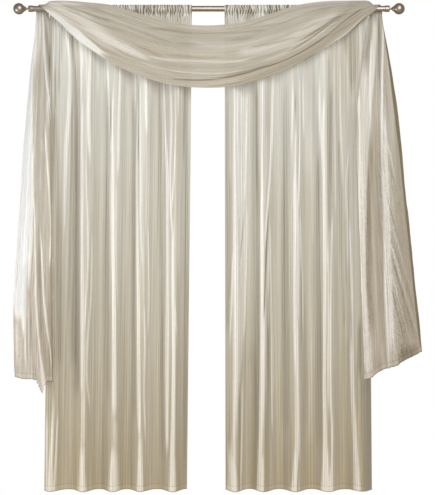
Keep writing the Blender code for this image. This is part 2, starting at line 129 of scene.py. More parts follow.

# Scarf
SCARF_FLAT = (0.44, 4.95)
SCARF_COLUMNS = 208
TAIL_ROW_GAP = 0.0105
WRAP_ROW_GAP = 0.0035
SWAG_ROW_GAP = 0.0135
CREASE_FADE = 0.07  # how far from its ends a crease takes to reach its whole height
FINE_PLEATS = 34  # fine pleats across the scarf wherever it is gathered
MOST_GATHERED = 3.6  # cloth over its gathered width, where the fine pleats are deepest
FINE_SHARES = (0.64, 0.21, 0.68)  # share of it that fine pleats take up on the tail, swag and tail
WAVE_STRETCH = 0.43  # a wave of steepness s is about sqrt(1 + 0.43 s^2) times as long as its span
FINE_BEND = 0.012  # how far the fine pleats bend to either side, as a share of the width
FINE_UNEVEN = 0.75
FINE_WANDER = 0.45  # how far one of them wanders to either side, as a share of their pitch
CRINKLE_SHARES = (0.16, 0.07)  # the coarse and the fine crinkles' height, as shares of the folds' depth
SWAG_FOLDS = 0.45  # share of the folds' depth that the swag has
SCARF_SEED = 41
TAIL_PLEAT_LIFT = 0.0035
SWAG_PLEAT_LIFT = 0.0022
SWAG_PLEAT_FADE = 0.06
BARK_DEPTH = 0.0009
BARK_START = -0.38  # how low the tails' crinkles start, and over what height they reach full strength
BARK_FADE = 0.5
OPEN_BUNCHED = (0.38, 0.16, 0.25)  # how bunched the cloth between the creases is, on the tail, swag and tail
# The tones below paint light and shade: pale on the pleats' ridges, dark in their hollows and creases, and
# paler where the fine pleats stand towards the room.
TAIL_TONE = 0.9  # how far pleats and crinkles change that
SWAG_TONE = 0.42
FINE_TONE = 0.03
WRAP_RADIUS = 0.0172  # middle of the pleats where they pass over the rod
WRAP_PLEAT = 0.0050
CORNER_SHARE = 0.29  # where across the left tail its lowest corner hangs, from the inner edge
CORNER_HALF_WIDTH = 0.12
CORNER_DROP = 0.058
CORNER_FADE_HEIGHT = -1.45  # where the drop starts, and over what height it reaches its whole
CORNER_FADE_DROP = 0.18

# Cloth's look
WARM_HOLLOW = (0.49, 0.425, 0.325, 1.0)  # some of the open cloth is browner than the rest
PAINTED_HIGHLIGHT = (0.80, 0.805, 0.805, 1.0)  # painted highlight on the most tightly gathered cloth
THREAD = (0.30, 0.27, 0.21, 1.0)
BARK_SLANT = 0.68  # radians
SEAM_EDGES = (0.0005, 0.0030)  # how far from its middle a seam starts to fade, and has faded
HEM_EDGE = 0.001
BORDER_WIDTH = 0.006  # the dark edge of the hem
HEM_TONE = 0.10
HEM_SEAM_TONE = -0.30
SIDE_SEAM_TONE = -0.15
BORDER_TONE = -1.1
SLUB_RELIEF = 0.06
SEAM_RELIEF = -0.4
TRANSLUCENT_SHARE = 0.28

# Camera and stage
CAMERA_PLACE = (0.0375, -5.6, -1.053)
SENSOR = 36.0
VIEW_HEIGHT = 2.183  # how much of the rod's plane the picture shows from top to bottom
FLOOR_HEIGHT = -2.40
FLOOR_CORNERS = ((-2.5, -2.5), (2.5, -2.5), (2.5, 1.2), (-2.5, 1.2))
GLOW = (0.46, 0.455, 0.44, 1.0)  # what the surround sheds on the cloth
SEEN_WHITE = (1.0, 1.0, 1.0, 1.0)


class Lamp(NamedTuple):
    """A square lamp: where it is, the point that it faces, its width, watts and colour."""

    name: str
    place: tuple
    target: tuple
    size: float
    power: float
    colour: tuple


class Fold(NamedTuple):
    """One forward fold of a panel: where its ridge stands at the hem, and half its depth."""

    ridge: float
    depth: float


class Panel(NamedTuple):
    """One panel: its two ends along the rod and at the hem, its folds and its pleats."""

    name: str
    heading: tuple
    hem: tuple
    folds: tuple
    pleats: tuple
    seed: int


class Turn(NamedTuple):
    """The top of a ridge or the floor of a hollow that runs along the scarf.

    share is its place across the scarf from the inner edge, and height its share of the
    folds' depth, measured away from the rod. The tails hang behind the rod, so there a
    ridge that stands towards the room has a height below zero.
    """

    share: float
    height: float


class Crease(NamedTuple):
    """A soft ridge along the scarf, or with a height below zero a trough.

    line holds (place, share) points. The place is z on the tails and x on the swag, and the
    share runs across from the inner edge. height is towards the room, as a share of the
    folds' depth. widths are the half widths on the inner and on the outer side, as shares.
    """

    line: tuple
    height: float
    widths: tuple


class Section(NamedTuple):
    """One cut across the scarf.

    outer is the edge that is the swag's lower one and lies at the outside of both tails,
    and inner is the other edge. bulge is how far the middle stands out from the line
    between them, and depth is the folds' depth.
    """

    outer: tuple
    inner: tuple
    bulge: float
    depth: float


# Pleats and creases of the cloth, listed one by one. A row says how pale the cloth is painted there, and how
# wide the pleat's right side is as a share of its left one. Above 0 is a ridge where the cloth bunches up,
# partly painted light, and above 1 a painted highlight; below 0 is a darker place, mostly painted shade in
# hollows and creases. Its points follow from the top down, in millimetres: the drop below the rod, the place
# along it, and the half width on the left. On the swag they follow from the left to the right: the place
# along the rod, the drop, and the half width.
LEFT_PLEATS = (
    (0.8, 1, (30, -683, 3), (140, -684, 4), (300, -686, 3), (420, -685, 3)),
    (0.7, 1, (50, -670, 4), (130, -663, 4), (230, -662, 3)),
    (-0.7, 1, (10, -706, 9), (220, -706, 11), (480, -703, 10)),
    (-0.4, 1, (240, -680, 7), (490, -676, 9)),
    (-0.55, 1, (50, -656, 6), (200, -655, 7), (290, -656, 5)),
    (-0.4, 1, (220, -556, 5), (450, -557, 5)),
    (0.6, 1, (30, -659, 4), (300, -653, 3)),
    (1, 1, (60, -640, 4), (130, -626, 6), (670, -634, 7), (840, -637, 4), (990, -638, 3)),
    (0.5, 1, (50, -615, 3), (170, -611, 4), (280, -609, 3)),
    (-0.35, 0.8, (50, -667, 7), (220, -658, 9), (400, -660, 11)),
    (-0.5, 0.8, (420, -687, 22), (980, -678, 35), (1420, -673, 35), (1600, -669, 26)),
    (-0.6, 0.16, (50, -607, 10), (220, -594, 18), (840, -586, 35), (1330, -587, 35), (1600, -589, 26)),
    (0.12, 1, (760, -607, 6), (1280, -609, 6)),
    (1, 1, (40, -578, 5), (190, -564, 7), (320, -562, 7), (1020, -561, 10), (1410, -558, 10),
        (1710, -559, 9)),
    (0.5, 1, (1680, -554, 11), (1810, -552, 10), (1960, -554, 11)),
    (0.85, 1, (1900, -555, 11), (2190, -559, 21)),
    (0.6, 1, (70, -545, 3), (200, -541, 4), (350, -540, 3)),
    (0.95, 1, (80, -519, 5), (230, -523, 7), (540, -526, 7), (680, -521, 4)),
    (0.45, 1, (120, -491, 3), (240, -488, 3), (370, -489, 3)),
    (0.8, 1, (670, -539, 3), (1120, -531, 4), (1420, -545, 3)),
    (0.75, 1, (990, -514, 3), (1200, -517, 4), (1670, -532, 4), (1770, -523, 3)),
    (-0.35, 0.25, (310, -456, 11), (1060, -445, 18), (1730, -439, 18)),
    (1, 1, (140, -451, 4), (430, -442, 4), (660, -431, 4)),
    (-0.7, 1, (380, -436, 3), (600, -436, 3)),
    (1, 1, (350, -422, 4), (540, -425, 4), (630, -425, 7), (840, -425, 10), (1370, -416, 10),
        (1810, -413, 11)),
    (0.6, 1, (1770, -412, 10), (1960, -410, 11)),
    (0.85, 1, (1900, -413, 11), (2010, -418, 19), (2190, -422, 24)),
    (0.85, 1, (190, -388, 4), (630, -397, 5), (750, -398, 3)),
    (0.5, 1, (780, -405, 3), (1020, -406, 3), (1320, -401, 3)),
    (-0.35, 0.25, (360, -335, 9), (1060, -330, 15), (1820, -324, 15)),
    (0.9, 1, (230, -325, 4), (460, -326, 3)),
    (1, 1, (390, -314, 4), (690, -319, 5), (1000, -317, 6), (1410, -310, 8), (1720, -307, 9),
        (1900, -304, 8)),
    (-0.7, 1, (310, -312, 3), (690, -312, 3)),
    (0.85, 1, (320, -302, 3), (670, -302, 4), (1000, -298, 4), (1140, -291, 3)),
    (0.95, 1, (230, -278, 7), (580, -271, 7)),
    (0.35, 1, (520, -271, 10), (1000, -271, 9)),
    (0.6, 1, (930, -287, 3), (1320, -286, 3)),
    (0.7, 1, (930, -269, 4), (1280, -265, 4), (1440, -269, 3)),
    (0.85, 1, (1270, -285, 3), (1480, -282, 4), (1680, -285, 4), (1900, -279, 3)),
    (0.8, 1, (1850, -302, 8), (2190, -305, 18)),
    (-0.4, 0.22, (310, -215, 11), (1000, -211, 20), (1990, -204, 18)),
    (1, 1, (230, -201, 4), (490, -197, 4), (710, -187, 8), (1060, -184, 9), (1720, -186, 9),
        (1960, -185, 7)),
    (0.9, 1, (350, -145, 3), (580, -147, 4), (760, -155, 4), (930, -171, 3)),
    (0.9, 1, (350, -168, 3), (520, -166, 4), (710, -172, 4), (810, -172, 4), (1020, -159, 4)),
    (1, 1, (940, -159, 5), (1120, -158, 7), (1720, -156, 9), (2190, -166, 15)),
    (0.6, 1, (1260, -153, 3), (1350, -146, 4), (1480, -136, 3)),
    (0.8, 1, (230, -135, 4), (500, -134, 3)),
    (-0.5, 0.85, (220, -100, 13), (1060, -100, 15), (2210, -105, 15)),
    (-0.3, 0.8, (1130, -129, 13), (2210, -129, 18)),
    (0.7, 1, (1650, -714, 6), (2190, -714, 8)),
    (0.95, 1, (1700, -681, 5), (1850, -686, 7), (2190, -708, 13)),
    (0.8, 1, (1770, -664, 3), (2190, -684, 6)),
    (0.8, 1, (1940, -696, 11), (2190, -696, 15)),
    (-0.4, 1, (1600, -709, 22), (1830, -704, 22)),
    (1, 1, (1920, -559, 10), (2190, -551, 19)),
    (1, 1, (1920, -416, 12), (2190, -417, 24)),
    (1, 1, (1920, -304, 9), (2190, -300, 17)),
    (1, 1, (1920, -162, 12), (2190, -158, 21)),
)
RIGHT_PLEATS = (
    (-0.4, 0.8, (360, 80, 9), (1060, 82, 9), (1440, 80, 9)),
    (-0.45, 0.9, (730, 95, 6), (1060, 96, 7), (1310, 88, 6)),
    (0.3, 1, (400, 92, 4), (760, 91, 4)),
    (0.75, 1, (1060, 104, 3), (1280, 99, 4), (1480, 91, 3)),
    (0.72, 1, (340, 136, 29), (840, 136, 29), (1410, 132, 25), (1720, 116, 16), (1900, 110, 13),
        (2030, 105, 18), (2190, 95, 22)),
    (1, 1, (320, 112, 4), (670, 112, 5), (870, 117, 8), (1020, 120, 13), (1410, 121, 13), (1940, 108, 7)),
    (0.95, 1, (340, 129, 4), (540, 126, 4), (710, 132, 4), (980, 134, 4)),
    (0.95, 1, (340, 146, 4), (630, 142, 5), (900, 147, 4)),
    (1, 1, (310, 169, 4), (540, 167, 4), (880, 156, 4)),
    (-0.35, 1, (360, 135, 3), (530, 136, 3), (670, 142, 3)),
    (-0.3, 1, (350, 157, 3), (620, 155, 3)),
    (-0.6, 1, (910, 156, 3), (1110, 138, 3)),
    (0.95, 1, (860, 169, 4), (1120, 166, 4), (1470, 154, 4)),
    (0.95, 1, (1630, 147, 3), (1770, 147, 4), (2190, 137, 4)),
    (-0.5, 0.8, (1670, 134, 6), (2210, 133, 8)),
    (-0.5, 0.25, (330, 215, 13), (1290, 220, 16), (1950, 212, 16)),
    (-0.35, 0.6, (1460, 195, 18), (1820, 199, 22), (2210, 199, 22)),
    (1, 1, (290, 235, 4), (690, 233, 4), (870, 233, 8), (1110, 233, 11), (1370, 236, 11), (1720, 232, 11),
        (1940, 225, 10), (2190, 216, 13)),
    (1, 1, (290, 283, 5), (630, 275, 6), (760, 268, 5), (910, 254, 5), (1060, 246, 4)),
    (0.5, 1, (520, 254, 3), (710, 252, 4), (920, 243, 3)),
    (-1, 1, (860, 266, 3), (1020, 255, 4), (1370, 241, 3)),
    (0.6, 1, (1030, 263, 6), (1290, 259, 5)),
    (0.9, 1, (930, 269, 3), (1120, 272, 4), (1550, 278, 4), (1880, 279, 4)),
    (0.45, 1, (1850, 275, 4), (2190, 271, 4)),
    (-0.6, 0.7, (1370, 264, 7), (1730, 258, 10), (2210, 247, 9)),
    (0.8, 1, (1960, 248, 3), (2190, 242, 4)),
    (0.12, 1, (1280, 294, 9), (1720, 294, 9)),
    (-0.35, 0.5, (310, 339, 13), (1060, 341, 22), (1860, 341, 22)),
    (0.95, 1, (330, 368, 4), (450, 366, 5), (610, 361, 3)),
    (-0.7, 1, (360, 381, 4), (490, 380, 3)),
    (1, 1, (300, 400, 4), (580, 401, 4), (910, 392, 4)),
    (0.9, 1, (520, 382, 4), (690, 379, 4), (800, 378, 10), (930, 382, 14), (1480, 383, 13), (1660, 389, 11),
        (1810, 389, 10), (1950, 386, 10), (2190, 364, 14)),
    (1, 1, (910, 394, 4), (1410, 393, 4)),
    (-0.25, 1, (950, 386, 3), (1420, 388, 3)),
    (0.3, 1, (840, 357, 4), (1200, 353, 4), (1410, 349, 3)),
    (0.7, 1, (1640, 399, 3), (2000, 399, 3)),
    (-0.7, 1, (1990, 393, 3), (2210, 387, 4)),
    (0.75, 1, (890, 402, 3), (1020, 406, 4), (1200, 412, 4), (1450, 417, 3)),
    (-0.5, 1, (1110, 407, 3), (1500, 407, 4)),
    (0.9, 1, (300, 415, 3), (560, 420, 4)),
    (0.15, 1, (520, 447, 15), (1060, 445, 18), (1940, 447, 18)),
    (-0.45, 0.4, (620, 489, 13), (1060, 488, 20), (1950, 490, 20)),
    (0.8, 1, (290, 485, 5), (450, 487, 6), (630, 493, 4)),
    (1, 1, (390, 504, 4), (630, 499, 7), (760, 504, 7), (1020, 507, 7), (1660, 506, 7), (1900, 509, 8),
        (2190, 501, 13)),
    (0.8, 1, (1040, 522, 4), (1410, 521, 5), (1770, 523, 5)),
    (1, 1, (900, 543, 4), (1120, 538, 5), (1720, 535, 5), (1900, 539, 6), (2190, 537, 8)),
    (-0.4, 1, (1110, 519, 3), (1510, 519, 3)),
    (-0.5, 1, (1760, 532, 5), (2060, 529, 6)),
    (0.7, 1, (1770, 546, 3), (1970, 545, 3)),
    (-0.5, 1, (340, 536, 11), (860, 529, 11)),
    (0.5, 1, (210, 552, 4), (450, 554, 4), (630, 557, 5), (920, 560, 4)),
    (0.75, 1, (230, 579, 4), (410, 580, 4), (670, 590, 4), (770, 594, 3)),
    (0.7, 1, (600, 619, 4), (800, 606, 4), (910, 610, 4), (1150, 612, 4)),
    (-0.5, 0.85, (550, 578, 9), (840, 585, 11), (1440, 600, 9)),
    (0.95, 1, (930, 620, 4), (1280, 630, 5), (1550, 630, 9), (1720, 635, 9), (1900, 643, 10),
        (2190, 655, 17)),
    (-0.4, 0.5, (1420, 611, 18), (2210, 621, 22)),
    (-0.9, 1.2, (1350, 660, 7), (1650, 660, 10)),
    (-1, 1.2, (1610, 684, 22), (1860, 698, 31), (2210, 711, 35)),
    (-0.22, 1, (180, 593, 26), (840, 593, 26), (1290, 589, 31), (2040, 589, 26)),
    (-0.22, 1, (690, 430, 18), (1290, 430, 20), (1860, 425, 16)),
    (-0.5, 1, (180, 525, 8), (620, 526, 9), (1000, 527, 7)),
    (-0.15, 1, (180, 456, 40), (420, 465, 35)),
    (-0.3, 1, (1290, 627, 7), (1510, 627, 7)),
    (-0.5, 1, (50, 607, 53), (180, 629, 35), (380, 633, 9)),
    (-0.35, 1, (860, 598, 18), (1290, 600, 18)),
    (0.7, 1, (1630, 676, 3), (1840, 678, 3)),
    (0.6, 1, (1920, 669, 3), (2190, 676, 3)),
    (1, 1, (1920, 97, 15), (2190, 114, 24)),
    (1, 1, (1920, 226, 10), (2190, 242, 17)),
    (1, 1, (1920, 382, 9), (2190, 379, 21)),
    (1, 1, (1920, 526, 16), (2190, 524, 25)),
    (-0.3, 1, (1550, 655, 13), (1820, 660, 13)),
)
TAIL_PLEATS = (
    (2.2, 1, (140, -778, 6), (290, -787, 11), (1020, -813, 35), (1170, -823, 37), (1360, -839, 22)),
    (1.6, 1, (1120, -810, 18), (1430, -807, 10)),
    (0.75, 1, (10, -761, 7), (160, -766, 7), (270, -769, 4)),
    (0.22, 1, (0, -760, 31), (230, -758, 31)),
    (0.5, 1, (20, -748, 4), (160, -744, 4)),
    (1.5, 1, (10, -735, 3), (160, -726, 4), (350, -707, 4), (420, -695, 4), (490, -687, 4)),
    (-0.6, 1, (50, -723, 5), (180, -708, 7), (330, -695, 7)),
    (0.95, 1, (510, -715, 3), (1080, -690, 4), (1150, -695, 3)),
    (0.7, 1, (390, -703, 3), (510, -700, 3)),
    (-0.4, 1.3, (460, -688, 10), (850, -680, 15), (1120, -677, 11)),
    (-0.35, 1.3, (1100, -683, 13), (1370, -684, 17), (1650, -681, 16)),
    (0.9, 1, (580, -772, 3), (840, -769, 3), (910, -763, 3), (1110, -758, 3), (1280, -755, 4),
        (1410, -747, 4), (1500, -738, 4), (1640, -721, 11), (1710, -716, 11)),
    (1.1, 1, (990, -734, 3), (1120, -728, 4), (1430, -700, 4), (1480, -693, 3), (1600, -682, 3)),
    (-0.4, 1, (1020, -740, 8), (1200, -738, 11), (1370, -728, 11), (1640, -706, 11)),
    (0.6, 1, (1180, -802, 4), (1420, -804, 4), (1580, -802, 4)),
    (0.5, 1, (1270, -788, 3), (1500, -792, 3)),
    (0.5, 1, (1360, -847, 5), (1580, -845, 7)),
    (-0.3, 1, (980, -813, 3), (1310, -819, 3)),
    (-0.4, 1, (1040, -846, 3), (1280, -852, 3)),
    (-0.2, 1, (1060, -773, 4), (1500, -778, 4)),
    (-0.5, 1, (1060, -792, 3), (1310, -798, 3), (1550, -796, 3)),
    (0.6, 1, (20, 735, 11), (180, 725, 13), (430, 706, 8), (560, 702, 6)),
    (0.95, 1, (120, 715, 4), (270, 707, 6), (510, 702, 4)),
    (0.95, 1, (200, 656, 4), (390, 653, 5), (540, 653, 4)),
    (0.55, 1, (240, 685, 18), (540, 676, 25), (1000, 665, 19), (1240, 667, 19), (1460, 677, 26),
        (1630, 691, 33)),
    (0.95, 1, (460, 656, 4), (760, 653, 4), (980, 652, 5), (1240, 661, 5), (1510, 665, 5)),
    (-0.15, 1, (230, 690, 4), (340, 693, 4)),
    (-0.5, 1.8, (560, 709, 6), (760, 700, 10), (980, 692, 11), (1240, 695, 12), (1430, 708, 11)),
    (-0.35, 1, (480, 740, 11), (850, 739, 13), (1240, 749, 11), (1510, 760, 9)),
    (1, 1.6, (70, 767, 3), (600, 755, 4), (1060, 766, 4), (1260, 769, 5), (1590, 784, 4)),
    (0.6, 1, (450, 768, 5), (670, 773, 11), (1240, 787, 14), (1510, 798, 13)),
    (-2, 1, (30, 767, 3), (220, 796, 6), (420, 824, 11), (650, 853, 12), (1210, 909, 8), (1500, 940, 8)),
    (-0.42, 0.8, (450, 826, 13), (840, 847, 31), (1060, 869, 40), (1280, 886, 53), (1510, 900, 71)),
    (-0.16, 1, (620, 811, 9), (930, 823, 13), (1280, 831, 18), (1550, 839, 22)),
    (0.4, 1, (550, 769, 3), (690, 806, 4), (830, 838, 4)),
    (0.5, 1, (940, 795, 4), (1120, 855, 4), (1260, 896, 4)),
    (0.55, 1, (1010, 785, 4), (1250, 863, 5), (1480, 937, 4)),
    (0.5, 1, (1140, 789, 4), (1510, 900, 4)),
    (-0.45, 1, (670, 782, 4), (800, 824, 4), (910, 851, 4)),
    (-0.5, 1, (840, 777, 4), (980, 823, 4), (1130, 869, 4)),
    (-0.55, 1, (1010, 799, 4), (1210, 868, 5), (1370, 919, 4)),
    (-0.65, 1, (1080, 794, 4), (1280, 858, 5), (1500, 923, 4)),
    (-0.6, 1, (1220, 794, 4), (1390, 839, 5), (1530, 876, 4)),
    (-0.6, 1, (20, 750, 5), (180, 750, 5), (360, 748, 4)),
    (-0.85, 1, (1450, 886, 53), (1650, 876, 62)),
    (-0.25, 1, (1500, 738, 31), (1650, 738, 35)),
)
SWAG_PLEATS = (
    (2.1, 1, (-730, -7, 4), (-695, 19, 4), (-650, 46, 5), (-610, 80, 6), (-565, 113, 6), (-520, 155, 5),
        (-475, 191, 5), (-440, 213, 4)),
    (1.95, 1, (-720, 14, 4), (-685, 43, 4), (-635, 95, 5), (-530, 173, 5), (-450, 226, 4)),
    (3.6, 1, (-720, 6, 7), (-685, 33, 11), (-650, 57, 15), (-610, 95, 18), (-520, 164, 15), (-460, 209, 9)),
    (1.12, 1, (-720, -1, 22), (-650, 22, 44), (-580, 54, 53), (-510, 94, 49), (-425, 152, 31),
        (-255, 237, 9)),
    (1.05, 1, (-725, -17, 4), (-685, -18, 5), (-625, -14, 6), (-545, -8, 4)),
    (-0.88, 1, (-650, -9, 3), (-580, 10, 4), (-475, 49, 6), (-415, 65, 5)),
    (-0.36, 1, (-635, 11, 3), (-570, 34, 4), (-530, 50, 3)),
    (1.27, 1, (-590, 14, 3), (-495, 57, 4)),
    (-0.48, 1, (-565, 41, 3), (-510, 61, 4), (-460, 84, 6), (-405, 102, 6), (-360, 114, 4)),
    (-0.44, 1, (-545, -8, 3), (-475, 15, 5), (-425, 35, 6), (-360, 55, 5)),
    (0.75, 1, (-485, 7, 3), (-440, 21, 4), (-390, 38, 3)),
    (1.12, 1, (-650, 0, 3), (-610, 25, 3), (-555, 48, 3)),
    (-0.44, 1, (-705, -3, 3), (-670, 17, 3), (-625, 44, 4), (-530, 97, 4)),
    (-0.36, 1, (-615, 58, 3), (-520, 119, 4), (-475, 143, 3)),
    (0.9, 1, (-535, 111, 3), (-495, 138, 3), (-450, 162, 3)),
    (-0.4, 1, (-570, 96, 3), (-520, 140, 4), (-475, 175, 5), (-425, 203, 7), (-380, 223, 4)),
    (0.9, 1, (-390, 144, 3), (-360, 165, 5), (-340, 184, 5), (-315, 197, 3)),
    (0.6, 1, (-405, 183, 3), (-350, 201, 4), (-250, 230, 3)),
    (-0.45, 1, (-430, 172, 3), (-370, 207, 5), (-310, 234, 6), (-255, 247, 4)),
    (-0.7, 1, (-325, 171, 3), (-265, 195, 6), (-230, 212, 5), (-185, 230, 3)),
    (-0.5, 1, (-310, 106, 3), (-250, 130, 5), (-185, 154, 5), (-145, 164, 3)),
    (0.45, 1, (-315, 237, 3), (-250, 264, 5), (-170, 284, 4)),
    (-0.35, 1, (-345, 249, 3), (-275, 282, 5), (-215, 302, 3)),
    (0.3, 1, (-145, 84, 5), (-55, 96, 9), (25, 100, 9), (115, 93, 8), (225, 68, 7)),
    (-0.85, 1, (-275, 93, 4), (-160, 103, 7), (-100, 113, 10), (-40, 117, 8), (30, 117, 6), (190, 108, 6),
        (255, 103, 4)),
    (-0.35, 1, (-170, 134, 13), (-40, 136, 17), (75, 134, 13)),
    (-0.6, 1, (75, 149, 5), (135, 144, 7), (205, 134, 5)),
    (-0.5, 1, (-150, 164, 6), (-80, 169, 10), (-40, 171, 5)),
    (0.4, 1, (-75, 156, 8), (25, 173, 11), (115, 167, 14), (230, 147, 14), (355, 118, 14)),
    (0.75, 1, (120, 202, 17), (230, 189, 26), (345, 153, 34), (450, 91, 34), (575, 28, 23)),
    (0.45, 1, (230, 80, 11), (355, 57, 15), (475, 16, 11)),
    (-0.6, 1, (-185, 212, 3), (-100, 220, 6), (-40, 225, 6), (50, 224, 4)),
    (1, 1, (-285, 217, 3), (-185, 234, 5), (-100, 241, 5), (-15, 244, 6), (70, 245, 7), (135, 241, 6),
        (205, 226, 4)),
    (-0.3, 1, (-230, 257, 11), (-80, 264, 14), (25, 265, 14), (155, 258, 10)),
    (0.55, 1, (-180, 282, 3), (-80, 291, 4), (15, 297, 5), (85, 291, 6), (155, 278, 5)),
    (-1.55, 1, (-170, 318, 3), (-60, 323, 4), (5, 321, 4), (65, 313, 5), (120, 302, 6), (170, 289, 5),
        (230, 269, 5), (290, 252, 4), (335, 235, 4), (390, 207, 4), (495, 142, 4), (615, 45, 4),
        (680, 0, 3)),
    (-1.62, 1, (-275, 324, 3), (-190, 344, 3), (-125, 354, 4), (-40, 361, 4), (50, 361, 5), (120, 353, 6),
        (180, 337, 6), (290, 299, 6), (355, 273, 6), (450, 217, 5), (495, 195, 4), (540, 170, 4),
        (595, 131, 4), (645, 87, 4), (680, 55, 5), (730, 21, 4)),
    (-0.6, 1, (120, 328, 17), (205, 306, 19), (275, 282, 23), (335, 258, 23), (460, 187, 23),
        (625, 66, 11)),
    (-1.49, 1, (380, 271, 3), (495, 205, 4), (595, 130, 4), (695, 34, 4)),
    (1.2, 1, (425, 247, 3), (510, 184, 5), (610, 108, 5), (690, 30, 3)),
    (-1.35, 1, (395, 153, 3), (495, 90, 4), (580, 28, 3)),
    (-1.35, 1, (345, 201, 3), (440, 143, 4), (545, 63, 4), (625, 5, 3)),
    (1.1, 1, (380, 192, 3), (475, 125, 5), (575, 50, 4)),
    (1.1, 1, (475, 156, 3), (565, 83, 5), (645, 15, 3)),
    (0.35, 1, (-15, 343, 3), (85, 332, 6), (145, 318, 6), (215, 295, 5)),
    (-0.8, 1, (-20, 354, 3), (125, 335, 5), (190, 319, 4)),
    (-0.55, 1, (135, 99, 3), (230, 87, 6), (310, 74, 6), (415, 35, 5), (475, 16, 5), (555, 1, 3)),
    (-0.5, 1, (170, 180, 3), (240, 170, 5), (310, 154, 6), (390, 133, 3)),
    (0.75, 1, (380, 153, 7), (415, 131, 11), (450, 102, 17), (505, 66, 17), (575, 21, 9)),
    (0.55, 1, (215, 215, 6), (310, 189, 10), (380, 163, 11), (440, 139, 10), (505, 105, 6)),
    (0.5, 1, (230, 243, 5), (310, 217, 9), (425, 163, 5)),
    (-0.45, 1, (145, 240, 3), (215, 228, 5), (275, 209, 5), (355, 178, 3)),
    (-0.3, 1, (395, 118, 3), (450, 82, 4), (505, 51, 3)),
    (-0.75, 1, (545, 111, 3), (615, 60, 5), (670, 22, 5), (700, 2, 3)),
    (-0.5, 1, (520, 145, 3), (590, 99, 5), (705, 10, 4)),
    (0.3, 1, (460, 180, 5), (510, 153, 7), (555, 129, 6), (610, 91, 3)),
    (1, 1, (505, 179, 3), (610, 110, 3)),
    (-0.7, 1, (590, 23, 3), (605, -1, 5), (635, -19, 4)),
    (-0.5, 1, (590, -22, 5), (645, -25, 6), (695, -12, 6)),
    (0.3, 1, (495, 90, 6), (555, 47, 10), (600, 12, 7)),
    (-0.5, 1, (520, 90, 3), (575, 50, 5), (615, 16, 4)),
    (-0.3, 1, (615, -4, 17), (660, -9, 23)),
)

PANELS = (
    Panel(
        name="panel_left",
        heading=(-0.7035, -0.0755),
        hem=(-0.7265, -0.098),
        folds=(
            Fold(ridge=-0.697, depth=0.026),
            Fold(ridge=-0.551, depth=0.037),
            Fold(ridge=-0.423, depth=0.034),
            Fold(ridge=-0.304, depth=0.031),
            Fold(ridge=-0.158, depth=0.038),
        ),
        pleats=LEFT_PLEATS,
        seed=11,
    ),
    Panel(
        name="panel_right",
        heading=(0.0688, 0.7045),
        hem=(0.0732, 0.721),
        folds=(
            Fold(ridge=0.116, depth=0.038),
            Fold(ridge=0.241, depth=0.035),
            Fold(ridge=0.381, depth=0.036),
            Fold(ridge=0.526, depth=0.034),
            Fold(ridge=0.680, depth=0.027),
        ),
        pleats=RIGHT_PLEATS,
        seed=23,
    ),
)

LAMPS = (
    Lamp("key", (0.9, -4.2, 0.9), (0.0, 0.0, -0.7), size=3.2, power=177.0, colour=(1.0, 0.995, 0.985)),
    Lamp("side", (-2.1, -0.9, -1.1), (-0.8, 0.0, -1.0), size=0.9, power=22.0, colour=(1.0, 1.0, 1.0)),
    Lamp("low_fill", (0.3, -3.0, -1.9), (0.0, 0.0, -1.6), size=1.6, power=8.0, colour=(1.0, 0.86, 0.66)),
)

LEFT_TURNS = (
    Turn(0.00, -0.5),
    Turn(0.07, 0.3),
    Turn(0.20, -0.3),
    Turn(0.34, 0.3),
    Turn(0.45, -0.2),
    Turn(0.57, 0.4),
    Turn(0.75, -0.2),
    Turn(1.00, 0.5),
)
SWAG_TURNS = (
    Turn(0.00, -0.3),
    Turn(0.06, 0.5),
    Turn(0.13, -0.7),
    Turn(0.22, 0.3),
    Turn(0.29, -0.3),
    Turn(0.38, 0.6),
    Turn(0.50, -0.6),
    Turn(0.58, 0.6),
    Turn(0.68, -0.3),
    Turn(0.76, 0.5),
    Turn(0.84, -0.7),
    Turn(0.92, 0.6),
    Turn(1.00, -0.8),
)
RIGHT_TURNS = (
    Turn(0.00, -0.2),
    Turn(0.07, -0.5),
    Turn(0.25, 0.3),
    Turn(0.42, 0.5),
    Turn(0.52, -0.4),
    Turn(0.70, 0.1),
    Turn(0.82, -0.1),
    Turn(1.00, 0.4),
)

LEFT_CREASES = (
    Crease(((-1.80, 0.62), (-1.00, 0.66), (-0.76, 0.66), (-0.51, 0.75), (0.0, 0.84)), 0.55, (0.05, 0.30)),
    Crease(((-1.75, 0.25), (-1.59, 0.36), (-1.28, 0.47), (-1.0, 0.58), (-0.90, 0.60)), 0.55, (0.04, 0.07)),
    Crease(((-0.52, -0.01), (-0.45, 0.02), (-0.31, 0.13), (-0.14, 0.32), (-0.02, 0.47)), 0.45, (0.06, 0.05)),
)
SWAG_CREASES = (
    Crease(((-0.43, 0.20), (-0.17, 0.13), (0.12, 0.12), (0.18, 0.09), (0.45, 0.21)), -0.5, (0.03, 0.04)),
    Crease(((-0.40, 0.52), (-0.26, 0.56), (-0.11, 0.57), (0.09, 0.57), (0.22, 0.56)), 0.6, (0.03, 0.04)),
    Crease(
        ((-0.26, 0.88), (0.05, 0.83), (0.34, 0.82), (0.49, 0.69), (0.65, 0.49), (0.74, 0.25)),
        -0.7,
        (0.03, 0.03),
    ),
    Crease(((0.24, 0.55), (0.34, 0.52), (0.42, 0.47), (0.51, 0.39), (0.66, 0.22)), 0.35, (0.05, 0.05)),
)
RIGHT_CREASES = (
    Crease(((-1.80, 0.06), (-1.00, 0.07), (-0.51, 0.10), (-0.31, 0.15), (-0.05, 0.09)), 0.55, (0.05, 0.12)),
    Crease(
        ((-1.80, 0.415), (-1.26, 0.42), (-0.88, 0.48), (-0.62, 0.54), (-0.40, 0.66), (0.0, 0.84)),
        0.75,
        (0.02, 0.18),
    ),
    Crease(
        ((-1.80, 0.36), (-1.26, 0.37), (-0.88, 0.42), (-0.62, 0.48), (-0.40, 0.59), (0.0, 0.76)),
        -0.4,
        (0.14, 0.03),
    ),
)


